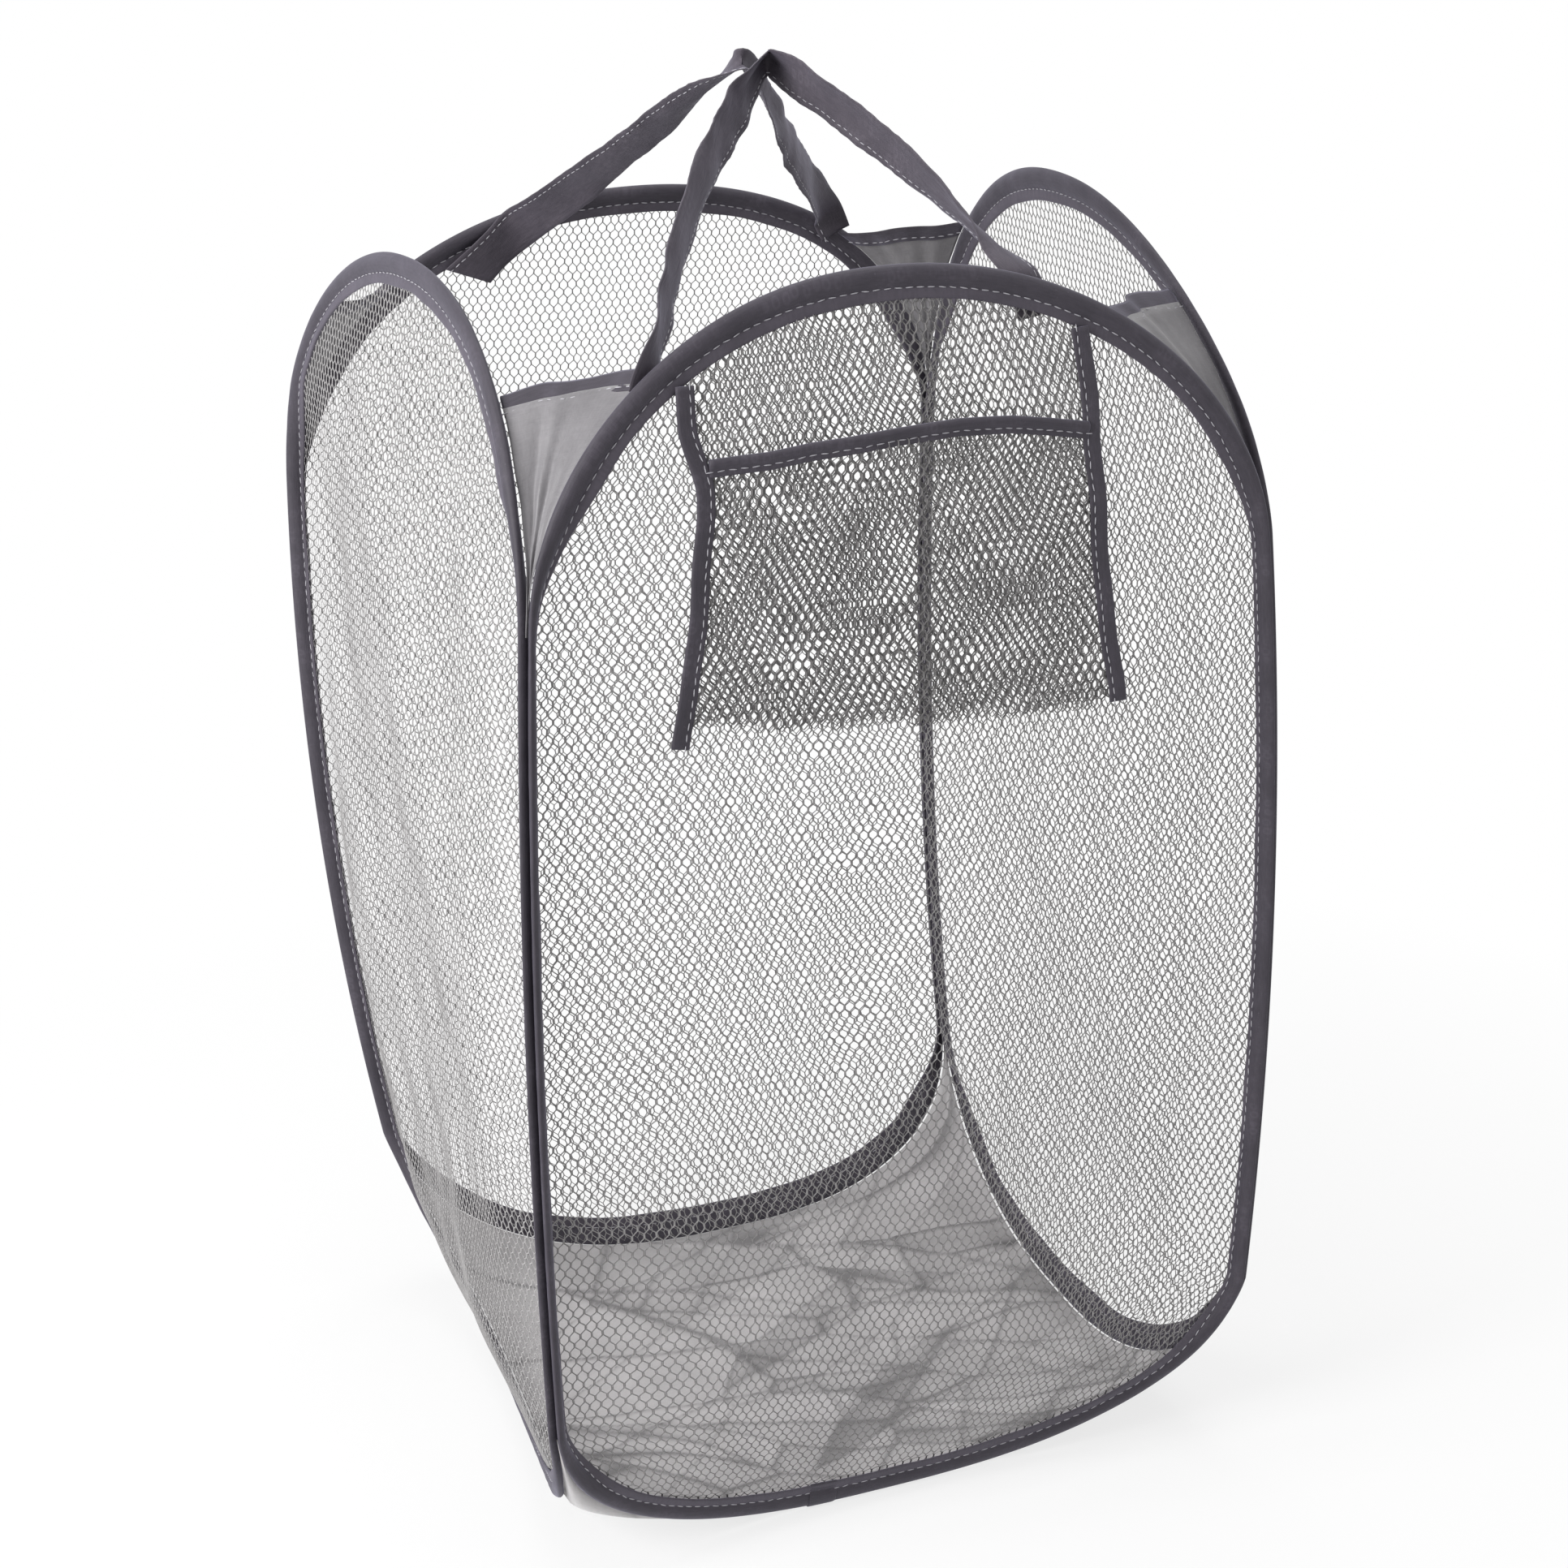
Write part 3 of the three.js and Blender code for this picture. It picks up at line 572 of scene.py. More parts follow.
# %% [markdown]
# A hoop's outline is two superellipse arcs, a tall one for the arch and a low one for the foot, with
# straight seams between them. It is sampled finely and then walked in even steps, so that stitches
# and wrinkles keep their pitch round the bends.


# %% The hoop's outline
def unit(vectors):
    return vectors / np.linalg.norm(vectors, axis=-1, keepdims=True)


def hoop_outline(width, count):
    """Even stations round a hoop: places, inward directions, distances and the length round it."""
    half = width / 2 - seam_gap
    places, normals = [], []
    arcs = ((arch_height, arch_rise, arch_power, 1), (corner_rise, corner_rise, corner_power, -1))
    for centre, rise, power, side in arcs:
        angle = np.linspace(0, math.pi, 1500)
        c, s = np.cos(angle), np.abs(np.sin(angle))
        across = side * np.sign(c) * np.abs(c) ** (2 / power)
        height = side * s ** (2 / power)
        nx = np.sign(across) * np.abs(across) ** (power - 1) / half
        nz = np.sign(height) * np.abs(height) ** (power - 1) / rise
        long = np.hypot(nx, nz)
        places.append(np.stack([half * across, centre + rise * height], 1))
        normals.append(-np.stack([nx / long, nz / long], 1))
    arch, foot = places
    seam = np.linspace(0, 1, 400)[1:-1, None]
    left_seam = arch[-1] * (1 - seam) + foot[0] * seam
    right_seam = foot[-1] * (1 - seam) + arch[0] * seam
    dense = closed(np.vstack([arch, left_seam, foot, right_seam]))
    facing = closed(np.vstack([normals[0], np.tile([1.0, 0.0], (len(seam), 1)), normals[1],
                               np.tile([-1.0, 0.0], (len(seam), 1))]))
    walked = distances(dense)
    total = walked[-1]
    even = np.arange(count) * total / count
    place = np.stack([np.interp(even, walked, dense[:, k]) for k in range(2)], 1)
    normal = np.stack([np.interp(even, walked, facing[:, k]) for k in range(2)], 1)
    return place, unit(normal), even, total


def edge_distance(width, s, z):
    """How far a place in a hoop lies from the hoop's outline."""
    best = np.full(np.shape(s), 9.0)
    for block in np.array_split(hoop_outline(width, 700)[0], 14):
        gap = np.hypot(np.asarray(s)[:, None] - block[:, 0], np.asarray(z)[:, None] - block[:, 1])
        best = np.minimum(best, gap.min(axis=1))
    return best


front_round = hoop_outline(panel_width, 800)[3]
print("front hoop is", round(front_round, 3), "m round")

# %% [markdown]
# The binding is tape folded over the net's edge. Its outer half is a soft round tube with the spring
# wire in it, and its inner half is a flat flange that holds the net, with one row of stitches between
# the two. The tape puckers a little between stitches and its inner edge is never quite even.

# %% Edge bindings
stitch_inset = 0.0098
stitch_pitch = 0.005
stitch_rise = 0.00072


def both_sides(half):
    """A closed section, from the half of it on one side of its middle line."""
    half = np.array(half, float)
    return np.vstack([half, half[-2::-1] * (1, -1)])


def round_hoop(panel, place, normal, u, v):
    """Sections carried round a hoop: u runs inwards in the panel's plane and v out of the plane."""
    spot = place[:, None, :] + normal[:, None, :] * u[:, :, None]
    return settle(to_room(panel, spot[..., 0], panel_middle - v, spot[..., 1]))


INSET, DEPTH = 0.001 * both_sides([
    (15.0, 0.10), (14.9, 0.55), (14.2, 0.82), (12.6, 0.80), (11.2, 0.78), (10.3, 0.62), (9.8, 0.55),
    (9.3, 0.70), (8.6, 1.25), (7.4, 1.95), (6.0, 2.45), (4.6, 2.70), (3.2, 2.62), (2.0, 2.28),
    (1.0, 1.70), (0.3, 0.90), (0.0, 0.0),
]).T


def binding_rings(panel, count, seed):
    place, normal, even, total = hoop_outline(PANELS[panel][2], count)
    pucker = np.cos(2 * math.pi * even / stitch_pitch)
    puff = 1 + 0.07 * wander(even, total, seed, 30, 3) + 0.03 * wander(even, total, seed + 1, 60, 60)
    edge = 0.0005 * wander(even, total, seed + 2, 40, 4)
    u = INSET + edge[:, None] * smooth_step((INSET - 0.011) / 0.004)
    v = DEPTH * (1 + (puff[:, None] - 1) * smooth_step((0.0095 - INSET) / 0.002))
    at_stitch = np.exp(-((INSET - stitch_inset) / 0.0016) ** 2)
    v = v + np.sign(DEPTH) * 0.00016 * pucker[:, None] * at_stitch
    flange = smooth_step((INSET - 0.0105) / 0.003)
    v = v + flange * 0.00035 * wander(even, total, seed + 3, 50, 8)[:, None]
    return round_hoop(panel, place, normal, u, v)


for index, panel in enumerate(PANELS):
    rings = binding_rings(panel, 900, 10 * index + 1)
    piece = skin(f"{panel}_binding_tape", rings, tape_finish, closed_path=True)
    # The hem mark is 1 on the flat flange, whose colour is painted lighter than the tube's.
    store(piece, "hem", np.tile((INSET > 0.01) * 1.0, len(rings)))
    dress(piece, f"{panel}_panel", "slate_tape", f"{panel}_edge_binding")
print("binding faces in one hoop", len(piece.data.polygons))

# %% [markdown]
# Inside the tube lies the spring wire, closed by a crimped ferrule. Neither shows, but the hoop can't
# spring without them, so both follow the settled tube.

# %% Spring wires and ferrules
wire_inset = 0.00254
spin = np.linspace(0, 2 * math.pi, 9)[:-1]
for panel in PANELS:
    place, normal, _, _ = hoop_outline(PANELS[panel][2], 420)
    crimp = np.argmin(place[:, 1] + np.abs(place[:, 0])) + np.arange(-2, 3)
    for part, node, radius, rows in (("wire", "wire_hoop", 0.0008, np.arange(len(place))),
                                     ("ferrule", "wire_ferrule", 0.0015, crimp)):
        squeeze = np.ones((len(rows), 1))
        if part == "ferrule":
            squeeze[len(rows) // 2] = 0.88
        rings = round_hoop(panel, place[rows], normal[rows],
                           wire_inset + radius * squeeze * np.cos(spin), radius * squeeze * np.sin(spin))
        piece = skin(f"{panel}_spring_{part}", rings, steel_finish, closed_path=part == "wire")
        dress(piece, f"{panel}_panel", "spring_wire", f"{panel}_{node}")
print("wires and ferrules", 2 * len(PANELS))

# %% [markdown]
# The net is one small shape thousands of times over: a six sided cell with a hole. Geometry Nodes
# lays a lattice of points, keeps those over the panel's outline, puts a cell on each and welds the
# cells into one cloth. A cell's rim is lower than its outer edge, so that welded neighbours give
# rounded strands.


# %% Net tree
def new_tree(name, result, **inputs):
    """A geometry tree with one result. An input is a kind of socket, or a number's usual value."""
    tree = bpy.data.node_groups.new(name, "GeometryNodeTree")
    for label, value in inputs.items():
        kind = value if isinstance(value, str) else "Float"
        made = tree.interface.new_socket(label.replace("_", " "), in_out="INPUT",
                                         socket_type=f"NodeSocket{kind}")
        if kind == "Float":
            made.default_value = value
    tree.interface.new_socket(result, in_out="OUTPUT", socket_type="NodeSocketGeometry")
    return tree, add(tree, "NodeGroupInput").outputs


def vector(tree, x=0.0, y=0.0, z=0.0):
    return add(tree, "ShaderNodeCombineXYZ", {"X": x, "Y": y, "Z": z})


def vector_maths(tree, operation, a, b):
    return add(tree, "ShaderNodeVectorMath", {0: a, 1: b}, operation=operation)


def hand_out(tree, geometry, material):
    """Shade the geometry smooth, give it its material and make it the tree's result."""
    soft = add(tree, "GeometryNodeSetShadeSmooth", {"Geometry": geometry})
    dressed = add(tree, "GeometryNodeSetMaterial", {"Geometry": soft, "Material": material})
    add(tree, "NodeGroupOutput", {0: dressed})
    return tree


def net_tree():
    tree, given = new_tree("knitted_net", "Net", Outline="Geometry", Pitch=0.0047, Row=0.0041,
                           Upright=0.775, Hole_Width=0.79, Hole_Height=0.93, Relief=0.0004, Tilt=0.0,
                           Columns="Int", Rows="Int", Centre="Vector", Material="Material")

    def maths(operation, a, b=0.0):
        return calculate(tree, operation, a, b)

    width = maths("MULTIPLY", maths("SUBTRACT", given["Columns"], 1.0), given["Pitch"])
    height = maths("MULTIPLY", maths("SUBTRACT", given["Rows"], 1.0), given["Row"])
    grid = add(tree, "GeometryNodeMeshGrid", {
        "Size X": width, "Size Y": height, "Vertices X": given["Columns"], "Vertices Y": given["Rows"],
    })
    place = add(tree, "GeometryNodeInputPosition")
    x, y, _ = add(tree, "ShaderNodeSeparateXYZ", {"Vector": place}).outputs
    from_foot = maths("ADD", y, maths("MULTIPLY", height, 0.5))
    odd = maths("MODULO", maths("ROUND", maths("DIVIDE", from_foot, given["Row"])), 2.0)
    half_pitch = maths("MULTIPLY", given["Pitch"], 0.5)
    shifted = add(tree, "GeometryNodeSetPosition", {
        "Geometry": grid, "Offset": vector(tree, maths("MULTIPLY", odd, half_pitch)),
    })
    lattice = add(tree, "GeometryNodeTransform", {
        "Geometry": shifted, "Translation": given["Centre"], "Rotation": vector(tree, z=given["Tilt"]),
    })
    ray = add(tree, "GeometryNodeRaycast", {
        "Target Geometry": given["Outline"], "Ray Direction": (0.0, 0.0, -1.0), "Ray Length": 2.0,
        "Source Position": vector_maths(tree, "ADD", place, (0.0, 0.0, 1.0)),
    })
    kept = add(tree, "GeometryNodeDeleteGeometry", {
        "Geometry": lattice, "Selection": add(tree, "FunctionNodeBooleanMath", {0: ray}, operation="NOT"),
    }, domain="POINT")

    radius = maths("DIVIDE", given["Pitch"], math.sqrt(3))
    disc = add(tree, "GeometryNodeMeshCircle", {"Vertices": 6, "Radius": radius}, fill_type="NGON")
    pointed = add(tree, "GeometryNodeTransform", {"Geometry": disc, "Rotation": (0.0, 0.0, math.pi / 6)})
    # The uprights are short and the slanting strands are steep: the tips reach up into the next row.
    half_upright = maths("MULTIPLY", given["Upright"], 0.5)
    tip = maths("SUBTRACT", maths("DIVIDE", given["Row"], radius), half_upright)
    aside = maths("DIVIDE", maths("ABSOLUTE", x), half_pitch)
    reach = maths("SUBTRACT", tip, maths("MULTIPLY", aside, maths("SUBTRACT", tip, given["Upright"])))
    cell = add(tree, "GeometryNodeSetPosition", {
        "Geometry": pointed, "Position": vector(tree, x, maths("MULTIPLY", y, reach)),
    })
    ring = add(tree, "GeometryNodeExtrudeMesh", {"Mesh": cell, "Offset Scale": 0.0})
    narrower = vector(tree, maths("SUBTRACT", given["Hole Width"], 1.0),
                      maths("SUBTRACT", given["Hole Height"], 1.0))
    lower = vector(tree, z=maths("MULTIPLY", given["Relief"], -1.0))
    rim = add(tree, "GeometryNodeSetPosition", {
        "Geometry": ring, "Selection": ring.outputs["Top"],
        "Offset": vector_maths(tree, "ADD", vector_maths(tree, "MULTIPLY", place, narrower), lower),
    })
    # The rim mark is read by the yarn's colour, which paints shade along each hole's rim.
    marked = add(tree, "GeometryNodeStoreNamedAttribute", {
        "Geometry": rim, "Name": "rim", "Value": ring.outputs["Top"],
    }, data_type="FLOAT", domain="POINT")
    hole = add(tree, "GeometryNodeDeleteGeometry", {
        "Geometry": marked, "Selection": ring.outputs["Top"],
    }, domain="FACE", mode="ONLY_FACE")
    cells = add(tree, "GeometryNodeInstanceOnPoints", {"Points": kept, "Instance": hole})
    weld = add(tree, "GeometryNodeMergeByDistance", {
        "Geometry": add(tree, "GeometryNodeRealizeInstances", {"Geometry": cells}),
        "Distance": maths("MULTIPLY", given["Pitch"], 0.03),
    })
    return hand_out(tree, weld, given["Material"])


NET = net_tree()
print("net tree has", len(NET.nodes), "nodes")

# %% [markdown]
# A tree is used through a modifier. Its inputs are set by each socket's identifier, before the object
# is first evaluated, and the result is kept as a plain mesh.


# %% Run a tree
def grown(name, mesh, tree, **values):
    """The mesh that a tree makes from a starting mesh. Inputs have low lines for spaces."""
    made = bpy.data.objects.new(name, mesh)
    bpy.context.scene.collection.objects.link(made)
    modifier = made.modifiers.new("tree", "NODES")
    modifier.node_group = tree
    for item in tree.interface.items_tree:
        given = item.name.replace(" ", "_")
        if item.item_type == "SOCKET" and item.in_out == "INPUT" and given in values:
            modifier[item.identifier] = values[given]
    return finished(made)


def net_inside(name, contour, **values):
    """A net that fills a flat outline, and its points along, up and above the panel."""
    flat = bpy.data.meshes.new(f"{name}_outline")
    flat.from_pydata([(x, y, 0) for x, y in contour], [], [list(range(len(contour)))])
    net = grown(name, flat, NET, **values)
    points = np.empty(3 * len(net.data.vertices))
    net.data.vertices.foreach_get("co", points)
    return net, *points.reshape(-1, 3).T


def write_points(obj, points):
    obj.data.vertices.foreach_set("co", np.ascontiguousarray(points, float).ravel())
    obj.data.update()


def surface_area(obj):
    areas = np.empty(len(obj.data.polygons))
    obj.data.polygons.foreach_get("area", areas)
    return float(areas.sum())


least_share = 0.301


def yarn_area(net, wide, high):
    """The cloth in a net is its yarn's area, but never less than a least share of its cut."""
    return max(surface_area(net), least_share * wide * high)


print("inputs of the net tree", [item.name for item in NET.interface.items_tree])

# %% [markdown]
# The four panels' nets are taut but never flat: they billow by a millimetre or two, and the knit
# wanders in its plane, which gives the shimmer where two nets overlap. At the foot the net's border
# lies over the tape on the inner side, and elsewhere it runs into the binding's hem.

# %% Panel nets
net_border = 0.0105
over_tape = 0.0075
hem_allowance = 0.003


def near_foot(z):
    """1 at the foot, where the net's border lies over the tape, and 0 above."""
    return smooth_step((0.085 - z) / 0.03)


for index, panel in enumerate(PANELS):
    width = PANELS[panel][2]
    place, normal, _, _ = hoop_outline(width, 240)
    border = net_border - over_tape * near_foot(place[:, 1])
    net, s0, z0, crest = net_inside(
        f"{panel}_knitted_net", place + normal * border[:, None], Columns=80, Rows=152,
        Centre=(0.0011 * index, panel_height / 2, 0.0), Material=net_finish,
        Hole_Width={"back": 0.85, "front": 0.8}.get(panel, 0.77))
    gap = edge_distance(width, s0, z0)
    free = smooth_step((gap - 0.015) / 0.05)
    seed = 100 + 7 * index
    s = s0 + free * 0.0009 * ripples(s0, z0, 0.07, seed) + 0.00022 * ripples(s0, z0, 0.011, seed + 1)
    z = z0 + free * 0.0008 * ripples(s0, z0, 0.09, seed + 2) \
        + 0.00022 * ripples(s0, z0, 0.012, seed + 3)
    billow = free * (0.0016 * ripples(s, z, 0.16, seed + 4) + 0.0005 * ripples(s, z, 0.05, seed + 5))
    over = near_foot(z) * smooth_step((0.0185 - gap) / 0.004)
    n = panel_middle + billow + over * (0.0034 - 2 * billow) - np.where(over > 0.5, 0, crest)
    write_points(net, settle(to_room(panel, s, n, z)))
    dress(net, f"{panel}_panel", "grey_net", f"{panel}_net")
    cut = (width - 2 * hem_allowance, panel_height - 2 * hem_allowance)
    yarn_area(net, *cut)
    print(panel, "net's yarn covers", round(surface_area(net) / (cut[0] * cut[1]), 2), "of its cut")

# %% [markdown]
# Stitches are a thread's short arcs in even steps along a line. A second tree walks a curve, puts a
# rounded stitch on every step, turns it along the line and varies its angle a little.


# %% Stitch tree
def stitch_tree():
    tree, given = new_tree("stitch_row", "Stitches", Line="Geometry", Pitch=stitch_pitch,
                           Length=0.0036, Width=0.00055, Height=0.00045, Wobble=0.12, Seed="Int",
                           Material="Material")
    line = add(tree, "GeometryNodeMeshToCurve", {"Mesh": given["Line"]})
    steps = add(tree, "GeometryNodeResampleCurve", {"Curve": line, "Length": given["Pitch"]},
                mode="LENGTH")
    bead = add(tree, "GeometryNodeMeshUVSphere", {"Segments": 8, "Rings": 5, "Radius": 0.5})
    stitch = add(tree, "GeometryNodeTransform", {
        "Geometry": bead, "Scale": vector(tree, given["Width"], given["Height"], given["Length"]),
    })
    reach = vector(tree, given["Wobble"], given["Wobble"], given["Wobble"])
    wobble = add(tree, "FunctionNodeRandomValue", {
        "Min": vector_maths(tree, "MULTIPLY", reach, (-1.0, -1.0, -1.0)), "Max": reach,
        "Seed": given["Seed"],
    }, data_type="FLOAT_VECTOR")
    aim = vector_maths(tree, "ADD", add(tree, "GeometryNodeInputTangent"), wobble)
    row = add(tree, "GeometryNodeInstanceOnPoints", {
        "Points": steps, "Instance": stitch,
        "Rotation": add(tree, "FunctionNodeAlignRotationToVector", {"Vector": aim}, axis="Z"),
    })
    real = add(tree, "GeometryNodeRealizeInstances", {"Geometry": row})
    return hand_out(tree, real, given["Material"])


STITCHES = stitch_tree()


def stitch_rows(name, lines, seed, closes=False, **sizes):
    """One mesh of stitches along lines of points."""
    points, edges = [], []
    for line in lines:
        first = len(points)
        points += [tuple(p) for p in line]
        edges += [(first + k, first + k + 1) for k in range(len(line) - 1)]
        if closes:
            edges.append((len(points) - 1, first))
    mesh = bpy.data.meshes.new(name)
    mesh.from_pydata(points, edges, [])
    return grown(name, mesh, STITCHES, Seed=seed, Material=thread_finish, **sizes)


print("stitch tree has", len(STITCHES.nodes), "nodes")

# %% [markdown]
# Every binding has one row of stitches on each face, in the dip between its tube and its flange. Both
# rows follow the hoop's outline and settle with it.

# %% Binding stitches
for index, panel in enumerate(PANELS):
    place, normal, _, _ = hoop_outline(PANELS[panel][2], 640)
    spot = place + normal * stitch_inset
    lines = [settle(to_room(panel, spot[:, 0], panel_middle + side * stitch_rise, spot[:, 1]))
             for side in (-1, 1)]
    row = stitch_rows(f"{panel}_binding_stitches", lines, 40 + index, closes=True)
    dress(row, f"{panel}_panel", "slate_tape")
print("binding stitches per hoop", round(front_round / stitch_pitch))

# %% [markdown]
# The front binding's ends meet left of the middle at the foot. There a wider sleeve of tape laps the
# thinner end and stops with a cut edge. It is a short skin just over the tube.

# %% Binding lap
place, normal, _, _ = hoop_outline(panel_width, 2400)
rows = np.where((place[:, 1] < corner_rise) & (np.abs(place[:, 0] + 0.042) < 0.0085))[0]
around = np.array([INSET - 0.0075, DEPTH]).T
around = around / np.maximum(np.linalg.norm(around, axis=1), 1e-9)[:, None]
grow = np.interp(np.linspace(0, 1, len(rows)), [0, 0.04, 0.9, 1], [0.0006, 0.00085, 0.0007, 0.0002])
lap = skin("front_binding_sleeve", round_hoop("front", place[rows], normal[rows],
                                              INSET + grow[:, None] * around[:, 0],
                                              DEPTH + grow[:, None] * around[:, 1]), tape_finish)
dress(lap, "front_panel", "slate_tape", "front_binding_lap")
print("lap stations", len(rows))

# %% [markdown]
# The gussets are thin satin triangles that close the notch between two arches. They hang between the
# arches' inner faces, sag inwards and gather in soft folds that run up from the notch. Each is one
# surface between two edges, so it is made as a grid and given its thickness afterwards.

# %% Corner gussets
gusset_foot = 0.467
gusset_top = 0.5565
gusset_inset = 0.003
gusset_seat = 0.0008
gusset_thick = 0.0004
# For each corner: its sides, its two panels, and how far its hem is sewn on above the even height.
CORNERS = {
    "front_left": (-1, -1, "front", "left", 0.007, -0.004),
    "front_right": (1, -1, "front", "right", 0.011, 0.005),
    "back_right": (1, 1, "back", "right", 0.0025, 0.006),
    "back_left": (-1, 1, "back", "left", -0.002, 0.001),
}


def arch_half(panel, z):
    """How far from an arch's middle a gusset is sewn on, at a height."""
    share = np.clip((z - arch_height) / (arch_rise - gusset_inset), 0, 1)
    return (PANELS[panel][2] / 2 - seam_gap - gusset_inset) * (1 - share ** arch_power) ** (1 / arch_power)


def hung(corner, across, z, sag):
    """Points between the two arches at a corner, from the front or back arch to the side arch."""
    side_x, side_y, first, second = CORNERS[corner][:4]
    turn = side_x * side_y
    start = to_room(first, -turn * arch_half(first, z), gusset_seat, z)
    end = to_room(second, turn * arch_half(second, z), gusset_seat, z)
    point = start * (1 - across)[..., None] + end * across[..., None]
    inward = np.array([-side_x, -side_y, 0]) / math.sqrt(2)
    return settle(point + sag[..., None] * inward)


def gathers(index, across, rise=1.0):
    """How far a gusset sags: its soft folds run up from the notch."""
    folds = np.cos(across * 15 + 2.2 * index + 1.5 * rise) + 0.6 * np.cos(across * 27 - 1.7 * index)
    return 4 * across * (1 - across) * rise * (0.0055 + 0.0011 * folds)


def hem_foot(corner, across):
    first_lift, second_lift = CORNERS[corner][4:]
    return gusset_top + first_lift * (1 - across) + second_lift * across


print("gussets are", round(gusset_top - gusset_foot, 3), "m high at", list(CORNERS))

# %% [markdown]
# Each gusset gets its cloth, a hem of folded tape along the top edge, with a wave in it, and the
# hem's stitches. Three gussets sit across a folding seam and are kept where they hang. The fourth
# closes the linkage's open seam and stays with the back panel.

# %% Sew the gussets
HEM = 0.001 * both_sides([(0, -0.7), (0.6, -0.95), (2.0, -0.8), (5.5, -0.95), (7.6, -0.8), (8.2, 0)])
hem_offset = 0.0008
hem_stitch = 0.0018
rise, across = np.meshgrid(np.linspace(0, 1, 34), np.linspace(0, 1, 45), indexing="ij")
share = np.linspace(0, 1, 46)
for index, (corner, (side_x, side_y, first, second, *_)) in enumerate(CORNERS.items()):
    z = gusset_foot + (hem_foot(corner, across) + 0.003 - gusset_foot) * rise
    sag = gathers(index, across, rise) + 0.0004 * ripples(across * 0.05, z, 0.02, index)
    # At every second corner the columns run the other way round, so that all the cloths face alike.
    grid = hung(corner, across, z, sag)[:, ::-side_x * side_y]
    piece = skin(f"{corner}_gusset_cloth", grid, gusset_finish, closed_ring=False)
    parts = [thicken(piece, gusset_thick)]
    foot = hem_foot(corner, share) + 0.0006 * np.sin(share * 11 + index)
    sag = gathers(index, share) + hem_offset
    rings = hung(corner, share[:, None], foot[:, None] + HEM[:, 0], sag[:, None] + HEM[:, 1])
    parts.append(skin(f"{corner}_gusset_tape", rings, tape_finish))
    lines = [hung(corner, share, foot + hem_stitch, sag + side) for side in (HEM[1, 1], -HEM[1, 1])]
    parts.append(stitch_rows(f"{corner}_gusset_stitches", lines, 60 + index))
    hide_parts(f"{corner}_gusset")
    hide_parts(f"{corner}_gusset_hem")
    for part, slot in zip(parts, ("grey_cloth", "slate_tape", "slate_tape")):
        if corner == "back_left":
            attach(part, "back_panel")
        else:
            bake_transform(part)
    print(corner, "gusset cloth", round(surface_area(parts[0]) / 2, 5), "m2")

# %% [markdown]
# The floor is a crumpled sheet of light cloth. It lies flat in the middle and climbs to the foot of
# each corner seam. Its creases are sharp lines with a soft slope on one side, each with a fixed place
# from a seeded random draw, so the same floor comes back at every run. Its colour holds painted
# shade along the crease lines and painted light and shade on the facets between them.

# %% Cloth floor
floor_gap = 0.0003
floor_thick = 0.0005
columns = 220
half_x, half_y = panel_width / 2 - floor_gap, panel_depth / 2 - floor_gap


def foot_height(width, place):
    share = np.clip(np.abs(place) / (width / 2), 0, 1)
    return corner_rise * (1 - (1 - share ** corner_power) ** (1 / corner_power))


reach = np.sin(np.linspace(-1, 1, columns) * math.pi / 2 * 0.999)
reach = 0.35 * reach + 0.65 * np.linspace(-1, 1, columns)
x, y = np.meshgrid(reach * half_x, reach * half_y, indexing="ij")
rise = foot_height(panel_width, x * panel_width / (2 * half_x)) \
    * foot_height(panel_depth, y * panel_depth / (2 * half_y)) / corner_rise
random = np.random.default_rng(21)
all_spots = random.uniform(-0.17, 0.17, (70, 2))
tilts = random.normal(0, 0.035, (70, 2))
creases = np.zeros_like(x)
tone = np.full_like(x, 0.5)
bend = 0.004 * ripples(x, y, 0.12, 8)
# Two sets of creases cross each other: each one's direction, rows of spots, height and shading.
for way, first, count, height, shading in ((-0.42, 0, 40, 0.75, 1.0), (0.63, 40, 30, 0.5, 0.7)):
    along = (x + bend) * math.cos(way) + (y + bend) * math.sin(way)
    aside = -(x + bend) * math.sin(way) + (y + bend) * math.cos(way)
    spots = all_spots[first:first + count]
    spot_along = spots[:, 0] * math.cos(way) + spots[:, 1] * math.sin(way)
    spot_aside = -spots[:, 0] * math.sin(way) + spots[:, 1] * math.cos(way)
    away = np.stack([np.hypot((along - a) * 0.36, aside - b) for a, b in zip(spot_along, spot_aside)])
    order = np.argsort(away, axis=0)[:2]
    nearest, second = np.take_along_axis(away, order, 0)
    border = second - nearest
    facet = order[0]
    slope = tilts[first:first + count][facet]
    plane = slope[..., 0] * (along - spot_along[facet]) * 0.6 + slope[..., 1] * (aside - spot_aside[facet])
    strength = random.uniform(0.2, 1.0, count)[facet]
    ridge = 0.0016 * strength * np.exp(-border / 0.0035)
    creases += (ridge + plane * smooth_step(border / 0.006)) * height
    # Painted light and shade: each facet is made lighter or darker at random, and each crease line darker,
    # as shade in the fold.
    lift = random.normal(0, 0.055, count)[facet]
    tone += (lift - 0.6 * (0.3 + strength) * np.exp(-border / 0.0015)) * shading
creases = np.clip(creases, -0.003, 0.005)
edge_free = smooth_step((1 - np.abs(x) / half_x) / 0.12) * smooth_step((1 - np.abs(y) / half_y) / 0.12)
low = smooth_step(1 - rise / 0.05)
z = rise + edge_free * (creases + 0.0012) * (0.3 + 0.7 * low) \
    + edge_free * 0.0006 * (1 + ripples(x, y, 0.05, 5)) + 0.0009
z = np.maximum(z, rise * 0.9 + 0.0008)
floor_grid = settle(np.stack([x, y, z], axis=-1))
floor_cloth = skin("floor_sheet", floor_grid, floor_finish, closed_ring=False)
